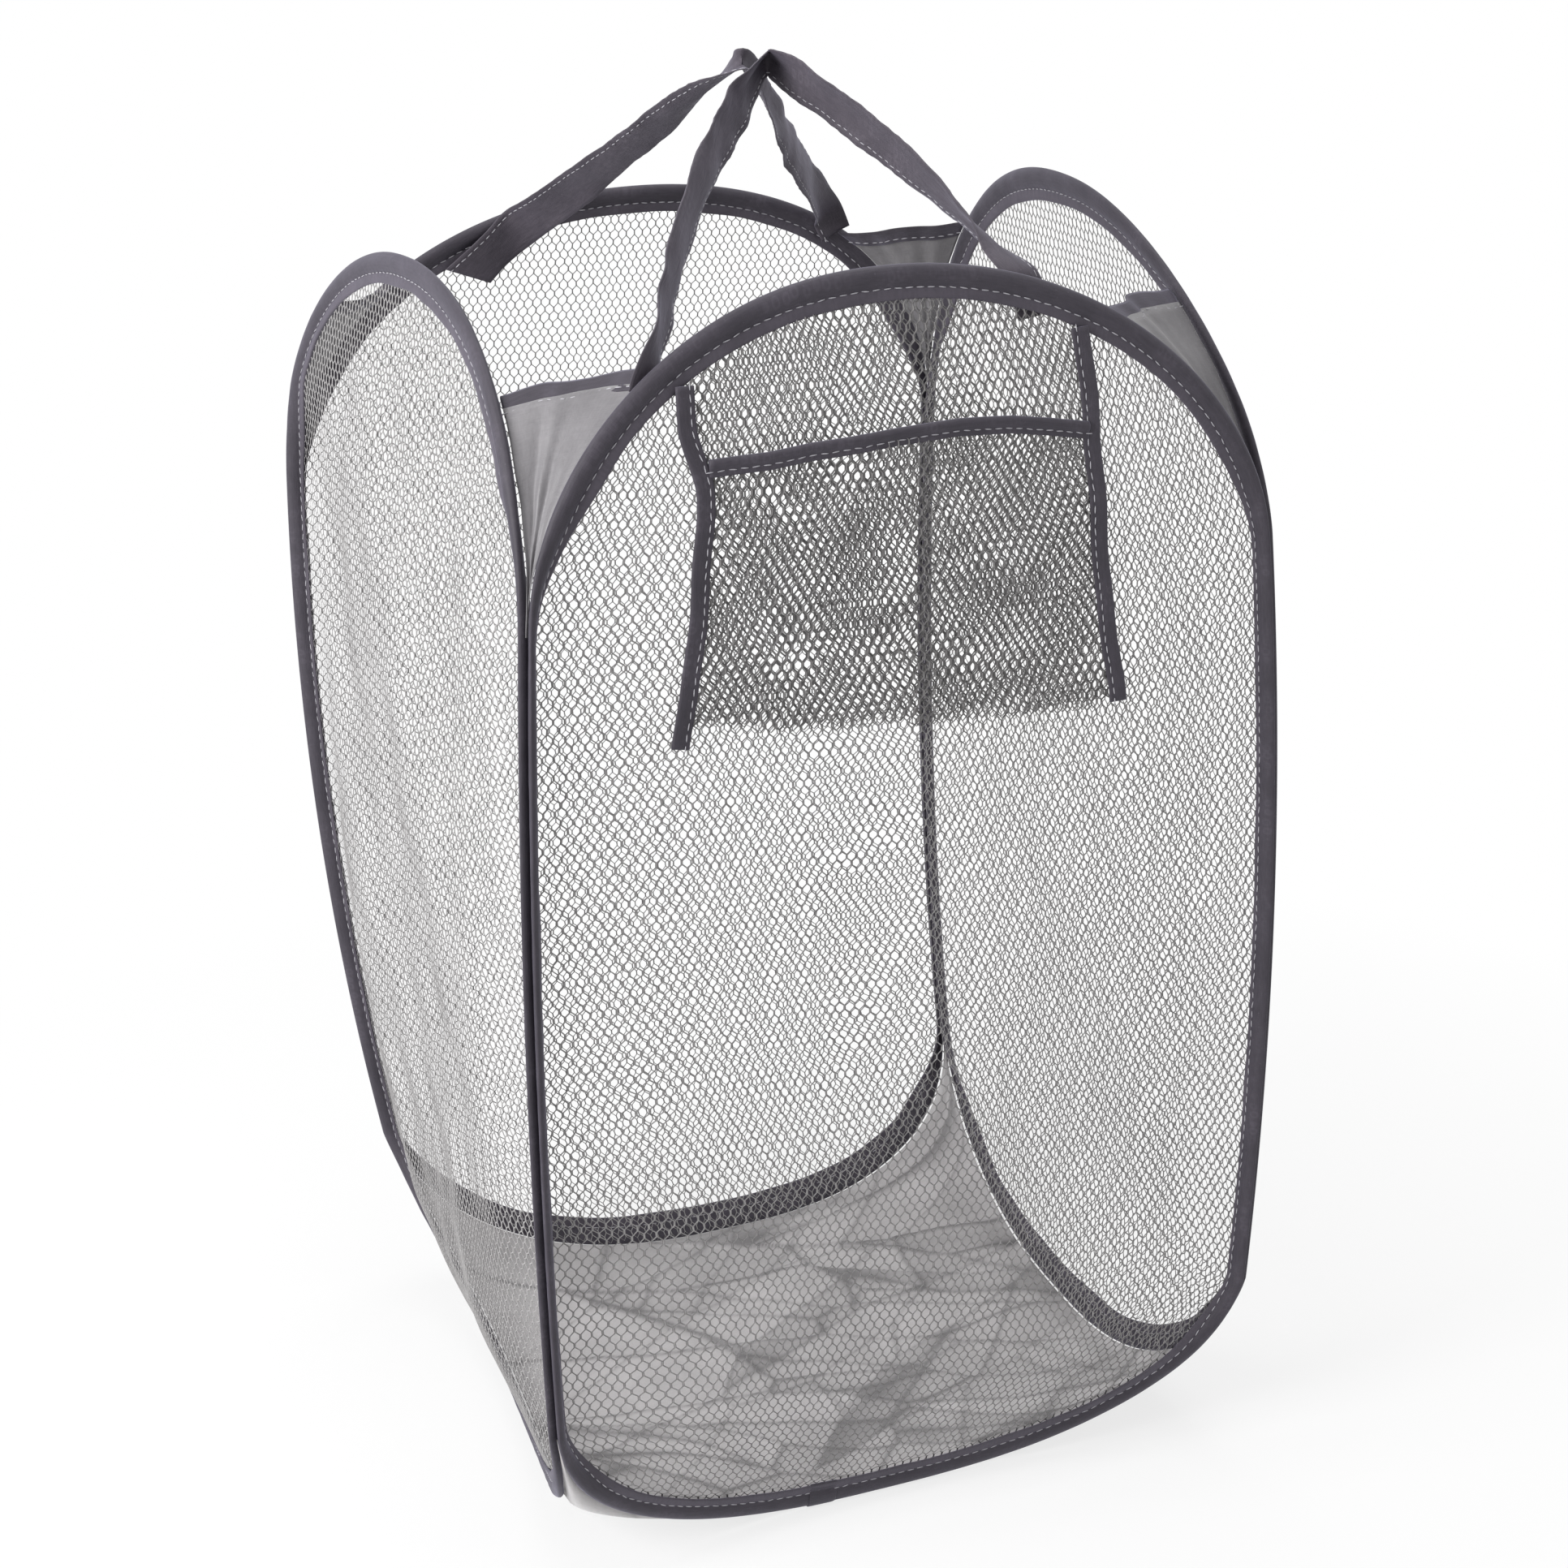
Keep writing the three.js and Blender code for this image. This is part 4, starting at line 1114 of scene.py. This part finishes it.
# The painted fold shading is stored for the floor's colour to read.
store(floor_cloth, "tone", np.clip(tone, 0, 0.85).ravel())
thicken(floor_cloth, floor_thick)
dress(floor_cloth, "front_panel", "grey_cloth", "floor_cloth")
print("floor cloth", round(surface_area(floor_cloth) / 2, 4), "m2, creases up to",
      round(float(creases.max()) * 1000, 1), "mm")

# %% [markdown]
# The pocket is two more layers of net outside the front panel, between two hanging tapes. The back
# layer runs up to the arch and the front layer stops at the mouth tape and bows outwards. Their knit
# lies at a slight angle to the panel's, and that gives the moire that the real pocket shows.

# %% Pocket sizes
pocket_left, pocket_right = -0.096, 0.090
pocket_mouth = 0.5302
pocket_middle = (pocket_left + pocket_right) / 2
pocket_back_n = -0.0042
pocket_front_n = -0.0052
pocket_bow = 0.005


def tape_line(side, z):
    """Where a hanging tape runs: it kinks at the mouth and swings out at its tail."""
    if side < 0:
        return np.interp(z, [0.398, 0.418, 0.444, 0.483, 0.51, 0.53, 0.536, 0.544, 0.57],
                         [-0.113, -0.1104, -0.1054, -0.1018, -0.0991, -0.0993, -0.1045, -0.1076, -0.1088])
    return np.interp(z, [0.398, 0.417, 0.445, 0.47, 0.52, 0.54, 0.573],
                     [0.0955, 0.0946, 0.0905, 0.0888, 0.0906, 0.0925, 0.0946])


def pocket_hem(s):
    """The pocket's foot isn't level: it hangs lowest at its right end."""
    return np.interp(s, [-0.1, -0.068, -0.03, 0.009, 0.048, 0.095],
                     [0.4195, 0.4145, 0.4105, 0.4075, 0.405, 0.4045])


def pocket_rim(s):
    """The mouth is pulled up into a low arc."""
    return np.interp(s, [-0.097, -0.07, -0.05, -0.01, 0.022, 0.05, 0.07, 0.09],
                     [0.5288, 0.5302, 0.533, 0.5354, 0.5358, 0.5344, 0.5318, 0.5284])


def pocket_bulge(s, z):
    across = 1 - ((s - pocket_middle) / (pocket_right - pocket_middle)) ** 2
    foot = pocket_hem(s)
    height = (z - foot) / (pocket_rim(s) - foot)
    return pocket_bow * np.clip(across, 0, 1) * np.sqrt(np.clip(height, 0, 1))


def arch_top(inset, s):
    """The height of the front arch over a place, less an inset."""
    half = panel_width / 2 - seam_gap - inset
    share = np.clip(np.abs(s) / half, 0, 1)
    return arch_height + (arch_rise - inset) * (1 - share ** arch_power) ** (1 / arch_power)


print("pocket is", round(pocket_right - pocket_left, 3), "m wide at its mouth")

# %% [markdown]
# Both layers are the same net tree again, run inside the pocket's own outlines with smaller holes.
# The back layer lies close to the panel and the front one bows out from it.

# %% Pocket nets
def pocket_outline(side_top, top):
    """A layer's outline: up along its left tape, along its top, down its right tape and back."""
    sides = []
    for side, corner in ((-1, -0.1), (1, 0.095)):
        z = np.linspace(float(pocket_hem(corner)), side_top, 30)
        sides.append(np.stack([tape_line(side, z) - side * 0.001, z], 1))
    left, right = sides
    along = np.linspace(left[-1, 0], right[-1, 0], 40)[1:-1]
    back = np.linspace(right[0, 0], left[0, 0], 30)[1:-1]
    return np.vstack([left, np.stack([along, top(along)], 1), right[::-1],
                      np.stack([back, pocket_hem(back)], 1)])


def under_arch(s):
    return arch_top(0.0125, s)


def front_points(s, n, z):
    return settle(to_room("front", s, n, z))


pocket_nets = {}
for layer, seed, side_top, top, tilt in (("back", 301, 0.571, under_arch, 0.035),
                                         ("front", 331, pocket_mouth, pocket_rim, -0.045)):
    net, s, z, crest = net_inside(
        f"pocket_{layer}_knit", pocket_outline(side_top, top), Pitch=0.0049, Row=0.00425,
        Hole_Width=0.72, Hole_Height=0.9, Columns=56, Rows=64, Tilt=tilt,
        Centre=(pocket_middle, 0.5, 0.0), Material=pocket_finish)
    s = s + 0.0007 * ripples(s, z, 0.06, seed) + 0.0002 * ripples(s, z, 0.012, seed + 1)
    z = z + 0.0007 * ripples(s, z, 0.06, seed + 2)
    if layer == "back":
        n = pocket_back_n - crest + 0.00015 * ripples(s, z, 0.05, seed + 3)
        n = n + 0.0012 * smooth_step((z - arch_top(0.0165, s)) / 0.004)
    else:
        n = pocket_front_n - crest - pocket_bulge(s, z) * (1 + 0.12 * ripples(s, z, 0.07, seed + 4))
    write_points(net, front_points(s, n, z))
    pocket_nets[layer] = dress(net, "front_panel", "pocket_net", f"pocket_{layer}_net")
print("pocket net faces", {k: len(v.data.polygons) for k, v in pocket_nets.items()})

# %% [markdown]
# The pocket's tapes are the same folded tape, narrower. The side tapes hang past the pocket and end
# with a cut, slightly frayed edge. The mouth tape is a small tube with a stitched flange below it.


# %% Pocket tapes
OUT = np.array([0.0, -1.0, 0.0])


def ribbon(name, centre, across, section):
    """A tape along centre points. Its section's places are across it and out of the panel, in mm."""
    section = 0.001 * np.array(section)
    across = np.broadcast_to(across, centre.shape)
    rings = centre[:, None] + across[:, None] * section[:, 0, None] + OUT * section[:, 1, None]
    return skin(name, rings, tape_finish)


TAPE = [(-4.2, 0), (-4.0, 0.6), (-3.0, 0.95), (-1.0, 0.9), (1.2, 0.75), (2.0, 0.5), (2.8, 0.7),
        (3.9, 0.65), (4.2, 0), (3.9, -0.4), (0, -0.5), (-3.9, -0.45)]
side_parts = []
for side, name, tail in ((-1, "left", 0.4105), (1, "right", 0.4035)):
    top = float(arch_top(binding_width - 0.001, tape_line(side, 0.575)))
    z = np.linspace(tail, top, 90)
    s = np.convolve(np.pad(tape_line(side, z), 6, mode="edge"), np.ones(13) / 13, mode="valid")
    s = s + 0.0004 * np.sin(z * 140 + side)
    centre = front_points(s, -0.0052 - 0.0009 * smooth_step((0.42 - z) / 0.02), z)
    across = unit(np.cross(OUT, unit(np.gradient(centre, axis=0))))
    across *= side * np.sign(across[0, 0]) * -1
    tape = ribbon(f"pocket_{name}_hanging_tape", centre, across, TAPE)
    row = stitch_rows(f"pocket_{name}_tape_stitches", [centre + across * 0.002 + OUT * 0.00062],
                      80 + side)
    side_parts += [dress(tape, "front_panel", "slate_tape", f"pocket_{name}_tape"),
                   dress(row, "front_panel", "slate_tape")]
print("side tapes", len(side_parts) // 2)

# %% [markdown]
# The mouth tape follows the rim of the bowed front layer. With it the pocket is complete, and each
# layer's yarn area is worked out from the size it was cut to.

# %% Pocket mouth
MOUTH = [(-3.9, 0.0), (-3.8, 0.5), (-3.0, 0.75), (-1.8, 0.6), (-1.3, 0.5), (-0.6, 0.8), (0.6, 1.6),
         (2.2, 1.9), (3.4, 1.5), (4.0, 0.6), (4.0, -0.2), (3.0, -0.7), (0.5, -0.6), (-3.7, -0.5)]
high = np.array([0.0, 0.0, 1.0])
s = np.linspace(tape_line(-1, pocket_mouth) + 0.002, tape_line(1, pocket_mouth) - 0.002, 90)
centre = front_points(s, pocket_front_n - 0.0004 - pocket_bulge(s, pocket_rim(s)),
                      pocket_rim(s) + 0.0006 * np.sin(s * 50))
mouth = ribbon("pocket_mouth_binding", centre, high, MOUTH)
row = stitch_rows("pocket_mouth_stitches", [centre - high * 0.0014 + OUT * 0.0006], 91)
mouth_parts = [dress(mouth, "front_panel", "slate_tape", "pocket_mouth_tape"),
               dress(row, "front_panel", "slate_tape")]
back_cut, front_cut = (0.188, 0.182), (0.194, 0.119)
yarn_area(pocket_nets["back"], *back_cut)
yarn_area(pocket_nets["front"], *front_cut)
print("pocket pieces", len(pocket_nets) + len(side_parts) + len(mouth_parts))

# %% [markdown]
# A handle is a long strip of tape folded to twenty two millimetres and sewn along its outer edge. Its
# ends are stitched flat on the arch's inner side. Each leg twists a quarter turn on its way up, so
# that the strip lies on edge where the two handles meet. It cups and creases as cloth does.

# %% Handle paths
strap_half = 0.011
strap_seat = 0.0009
# Both ends of a strap: where it is sewn, where it leaves the arch, how far its leg bows, and along
# the leg the share climbed, the twist in degrees and the share of the width that isn't folded in.
HANDLES = {
    "front": {
        "side": -1, "pivot": 0.601, "apex": (0.0117, 0.0075, 0.6781),
        "ends": ((-0.1237, 0.5612), (0.0759, 0.5778)), "roots": ((-0.1205, 0.5724), (0.0725, 0.5965)),
        "bows": ((-0.0095, 0), (0, 0.005)), "slants": (0, 0),
        "twists": (((0, -38, 0.9), (0.03, -66, 1), (0.07, -86, 1), (0.13, -76, 1), (0.2, -64, 1),
                    (0.23, -73, 1), (0.5, -72, 1), (0.82, -63, 1), (0.86, -73, 1), (1, -90, 0.6)),
                   ((0, -5, 0.9), (0.08, -20, 0.85), (0.16, -62, 0.85), (0.3, -74, 1), (0.5, -90, 1),
                    (0.9, -90, 1), (1, -90, 0.6))),
    },
    "back": {
        "side": 1, "pivot": 0.5998, "apex": (0.0059, 0.0075, 0.6766),
        "ends": ((-0.0888, 0.5645), (0.1215, 0.5675)), "roots": ((-0.063, 0.5885), (0.117, 0.5785)),
        "bows": ((0, 0.002), (0.002, 0)), "slants": (0.006, 0),
        "twists": (((0, 40, 1.14), (0.2, 30, 1.1), (0.4, 15, 1.05), (0.62, 12, 1), (0.82, -10, 0.9),
                    (0.93, -40, 0.8), (1, -90, 0.5)),
                   ((0, -12, 0.85), (0.08, -54, 0.85), (0.2, -72, 1), (0.6, -74, 1), (1, -90, 0.5))),
    },
}


def smoothed(values, times):
    for _ in range(times):
        values[1:-1] = 0.25 * values[:-2] + 0.5 * values[1:-1] + 0.25 * values[2:]
    return values


def handle_leg(spec, leg):
    """One leg from its sewn end to the top: centres, twists in radians and shares of the width."""
    side = spec["side"]
    seat = side * (panel_depth / 2 - strap_seat)
    end, root = (np.array([spec[key][leg][0], seat, spec[key][leg][1]]) for key in ("ends", "roots"))
    x, gap, z = spec["apex"]
    apex = np.array([x, side * gap, z])
    tail = np.linspace(0, 1, 12)[:-1]
    climb = np.linspace(0, 1, 76)
    share = np.concatenate([np.zeros(len(tail)), climb])
    path = np.vstack([end + tail[:, None] * (root - end), root + climb[:, None] * (apex - root)])
    path[:, 0] += spec["bows"][leg][0] * np.sin(math.pi * share)
    path[:, 2] += spec["bows"][leg][1] * np.sin(math.pi * share)
    places, angles, widths = zip(*spec["twists"][leg])
    turn = np.radians(np.interp(share, places, angles))
    turn[:len(tail)] = turn[0] * tail ** 3
    return path, turn, np.interp(share, places, widths)


def handle_frames(spec):
    """Centres, width directions and width shares of a strap, from its left end to its right end."""
    left, left_turn, left_width = handle_leg(spec, 0)
    right, right_turn, right_width = handle_leg(spec, 1)
    count = len(left)
    path = smoothed(np.vstack([left, right[::-1][1:]]), 5)
    turn = smoothed(np.concatenate([left_turn, -math.pi - right_turn[::-1][1:]]), 3)
    width = smoothed(np.concatenate([left_width, right_width[::-1][1:]]), 3)
    tangent = unit(np.gradient(path, axis=0))
    outward = np.array([0, -spec["side"], 0.0])
    square = np.cross(path[-12] - path[11], path[count - 1] - path[11])
    square = unit(square * np.sign(square @ outward))
    place = np.arange(len(path))
    sewn = np.clip(1 - np.minimum(place, place[::-1]) / 16, 0, 1)[:, None]
    facing = unit(outward * sewn + square * (1 - sewn))
    flat = unit(np.cross(tangent, facing))
    edge = np.cross(flat, tangent)
    wide = np.cos(turn)[:, None] * flat + np.sin(turn)[:, None] * edge
    return path, wide, np.cross(tangent, wide), width


for name, spec in HANDLES.items():
    print(name, "handle runs", round(float(distances(handle_frames(spec)[0])[-1]), 3), "m")

# %% [markdown]
# The strip's section has a groove where the stitches run. Where the table folds width in, the strip
# is pinched to a shallow gutter, as at the top, where two hands' grip has folded it. A slow cup and a
# few kinks come from lines that wander along the strip, and fade out towards the sewn ends.

# %% Handle straps
STRAP = both_sides([(1.0, 0), (0.97, 0.75), (0.8, 1.0), (0.45, 0.95), (0, 0.95), (-0.4, 0.95),
                    (-0.66, 0.85), (-0.74, 0.6), (-0.82, 0.85), (-0.97, 0.7), (-1.0, 0)])[:-1]
strap_thick = 0.0006
strap_seam = -0.74
slant_reach = 0.022
for name, spec in HANDLES.items():
    path, wide, thick, width = handle_frames(spec)
    side = spec["side"]
    length = distances(path)
    total = length[-1]

    def drift(seed, waves, start):
        return wander(length, total, seed + side, waves, start)

    free = smooth_step((np.minimum(length, total - length) - 0.026) / 0.035)
    cup = (0.0009 * np.sin(length / total * 9 + side) + 0.0008 * drift(71, 7, 3)) * free
    kink = 0.0007 * drift(75, 14, 8) * free
    crimp = 0.0004 * drift(77, 30, 40) * free
    gutter = strap_half * np.sqrt(np.clip(1 - width ** 2, 0, 1)) * 0.55
    squeeze = width * (1 - 0.03 * (1 + drift(79, 12, 5)))
    slant = sum(amount * np.clip(1 - walked / slant_reach, 0, 1)
                for amount, walked in zip(spec["slants"], (length, total - length)))
    run = unit(np.gradient(path, axis=0)) * slant[:, None]

    def strap_line(a, b):
        """The strap's line at a place across it, from -1 to 1, and off its middle layer."""
        above = cup * (1 - 2 * a * a) + kink * a + gutter * (abs(a) - 0.5) + crimp * math.sin(7 * a)
        spot = path + wide * (strap_half * a * squeeze)[:, None] + a * run
        return settle(spot + thick * (above + strap_thick * b)[:, None])

    strap = skin(f"{name}_tape_handle", np.stack([strap_line(a, b) for a, b in STRAP], axis=1),
                 strap_finish)
    row = stitch_rows(f"{name}_handle_stitches", [strap_line(strap_seam, way) for way in (0.62, -0.62)],
                      95 + side, Length=0.0032, Pitch=0.0043)
    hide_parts(f"{name}_handle_strap", f"{name}_handle_left_tab", f"{name}_handle_right_tab")
    for part in (strap, row):
        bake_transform(part)
    print(name, "strap has", len(strap.data.polygons), "faces")

# %% [markdown]
# Folded flat, the cloth parts lie in their panels' planes. A soft part can't pass through the hinge
# as cloth does. Here every panel's pieces only get a mesh of their own, and the table names each
# panel's fold joint, the axis of its hinge and a point on it. The straps and three gussets lie
# across a joint and belong to no panel.

# %% Own meshes for each panel's soft pieces
FOLDS = {
    "front": ("left_fold", (0, 1, 0), (0, -0.173, 0)),
    "right": ("right_fold", (1, 0, 0), (0.1805, 0, 0)),
    "back": ("back_fold", (0, 1, 0), (0, 0.1748, 0)),
    "left": ("left_fold", (1, 0, 0), (-0.1805, 0, 0)),
}
flattened = 0
for panel, (joint, axis, anchor) in FOLDS.items():
    for part in [p for p in bpy.data.objects if p.get("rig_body") == f"{panel}_panel" and p.type == "MESH"]:
        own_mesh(part)
        flattened += 1
print("pieces that flatten", flattened)

# %% [markdown]
# The studio is plain: a pale floor that keeps the hamper's soft shadow, a white world behind it, one
# large lamp from the left, a weaker one from the right and one above. The light is level, so that a
# colour renders about as it is written.


# %% Stage and light
def seen_by_eye(tree):
    """1 for a ray that shows the surface itself, and 0 for one that only gathers its light."""
    path = add(tree, "ShaderNodeLightPath").outputs
    seen = calculate(tree, "MAXIMUM", path["Is Camera Ray"], path["Is Glossy Ray"])
    return calculate(tree, "MAXIMUM", seen, path["Is Transmission Ray"])


def soft_white(name, keep):
    """A pale floor that the camera sees as white, and that keeps its shading near the hamper."""
    material = bpy.data.materials.new(name)
    tree = fresh_tree(material)
    place = add(tree, "ShaderNodeTexCoord").outputs["Object"]
    away = add(tree, "ShaderNodeVectorMath", {0: place}, operation="LENGTH").outputs["Value"]
    white = ramp(tree, away, 1 - keep, 1.0, 0.3, 0.75)
    lit = add(tree, "ShaderNodeBsdfDiffuse", {"Color": (0.82, 0.82, 0.82, 1)})
    glow = add(tree, "ShaderNodeEmission", {"Color": (1, 1, 1, 1), "Strength": 1.0})
    share = calculate(tree, "MULTIPLY", seen_by_eye(tree), white)
    mixed = add(tree, "ShaderNodeMixShader", {"Fac": share, 1: lit, 2: glow})
    add(tree, "ShaderNodeOutputMaterial", {"Surface": mixed})
    return material


low, far = -0.0006, 6
floor_mesh = bpy.data.meshes.new("studio_floor")
floor_mesh.from_pydata([(-far, -far, low), (far, -far, low), (far, far, low), (-far, far, low)], [],
                       [(0, 1, 2, 3)])
new_object("studio_floor", floor_mesh, soft_white("studio_white", 0.24))

world = bpy.data.worlds.new("studio")
bpy.context.scene.world = world
tree = fresh_tree(world)
sky = add(tree, "ShaderNodeBackground", {
    "Color": (1, 1, 1, 1), "Strength": ramp(tree, seen_by_eye(tree), 0.34, 1.0),
})
add(tree, "ShaderNodeOutputWorld", {"Surface": sky})


def lamp(name, place, aim, size, power):
    data = bpy.data.lights.new(name, "AREA")
    data.shape = "SQUARE"
    data.size = size
    data.energy = power
    made = bpy.data.objects.new(name, data)
    way = Vector(aim) - Vector(place)
    made.matrix_world = Matrix.Translation(place) @ way.to_track_quat("-Z", "Y").to_matrix().to_4x4()
    bpy.context.scene.collection.objects.link(made)


lamp("left_softbox", (-2.0, -0.45, 1.25), (0, 0, 0.35), 1.2, 62)
lamp("right_softbox", (1.9, -1.4, 1.2), (0, 0, 0.3), 1.2, 7)
lamp("top_softbox", (0.2, 0.1, 2.3), (0, 0, 0.3), 1.4, 22)
bpy.context.scene.view_settings.view_transform = "Standard"
print("lamps", len(bpy.data.lights))
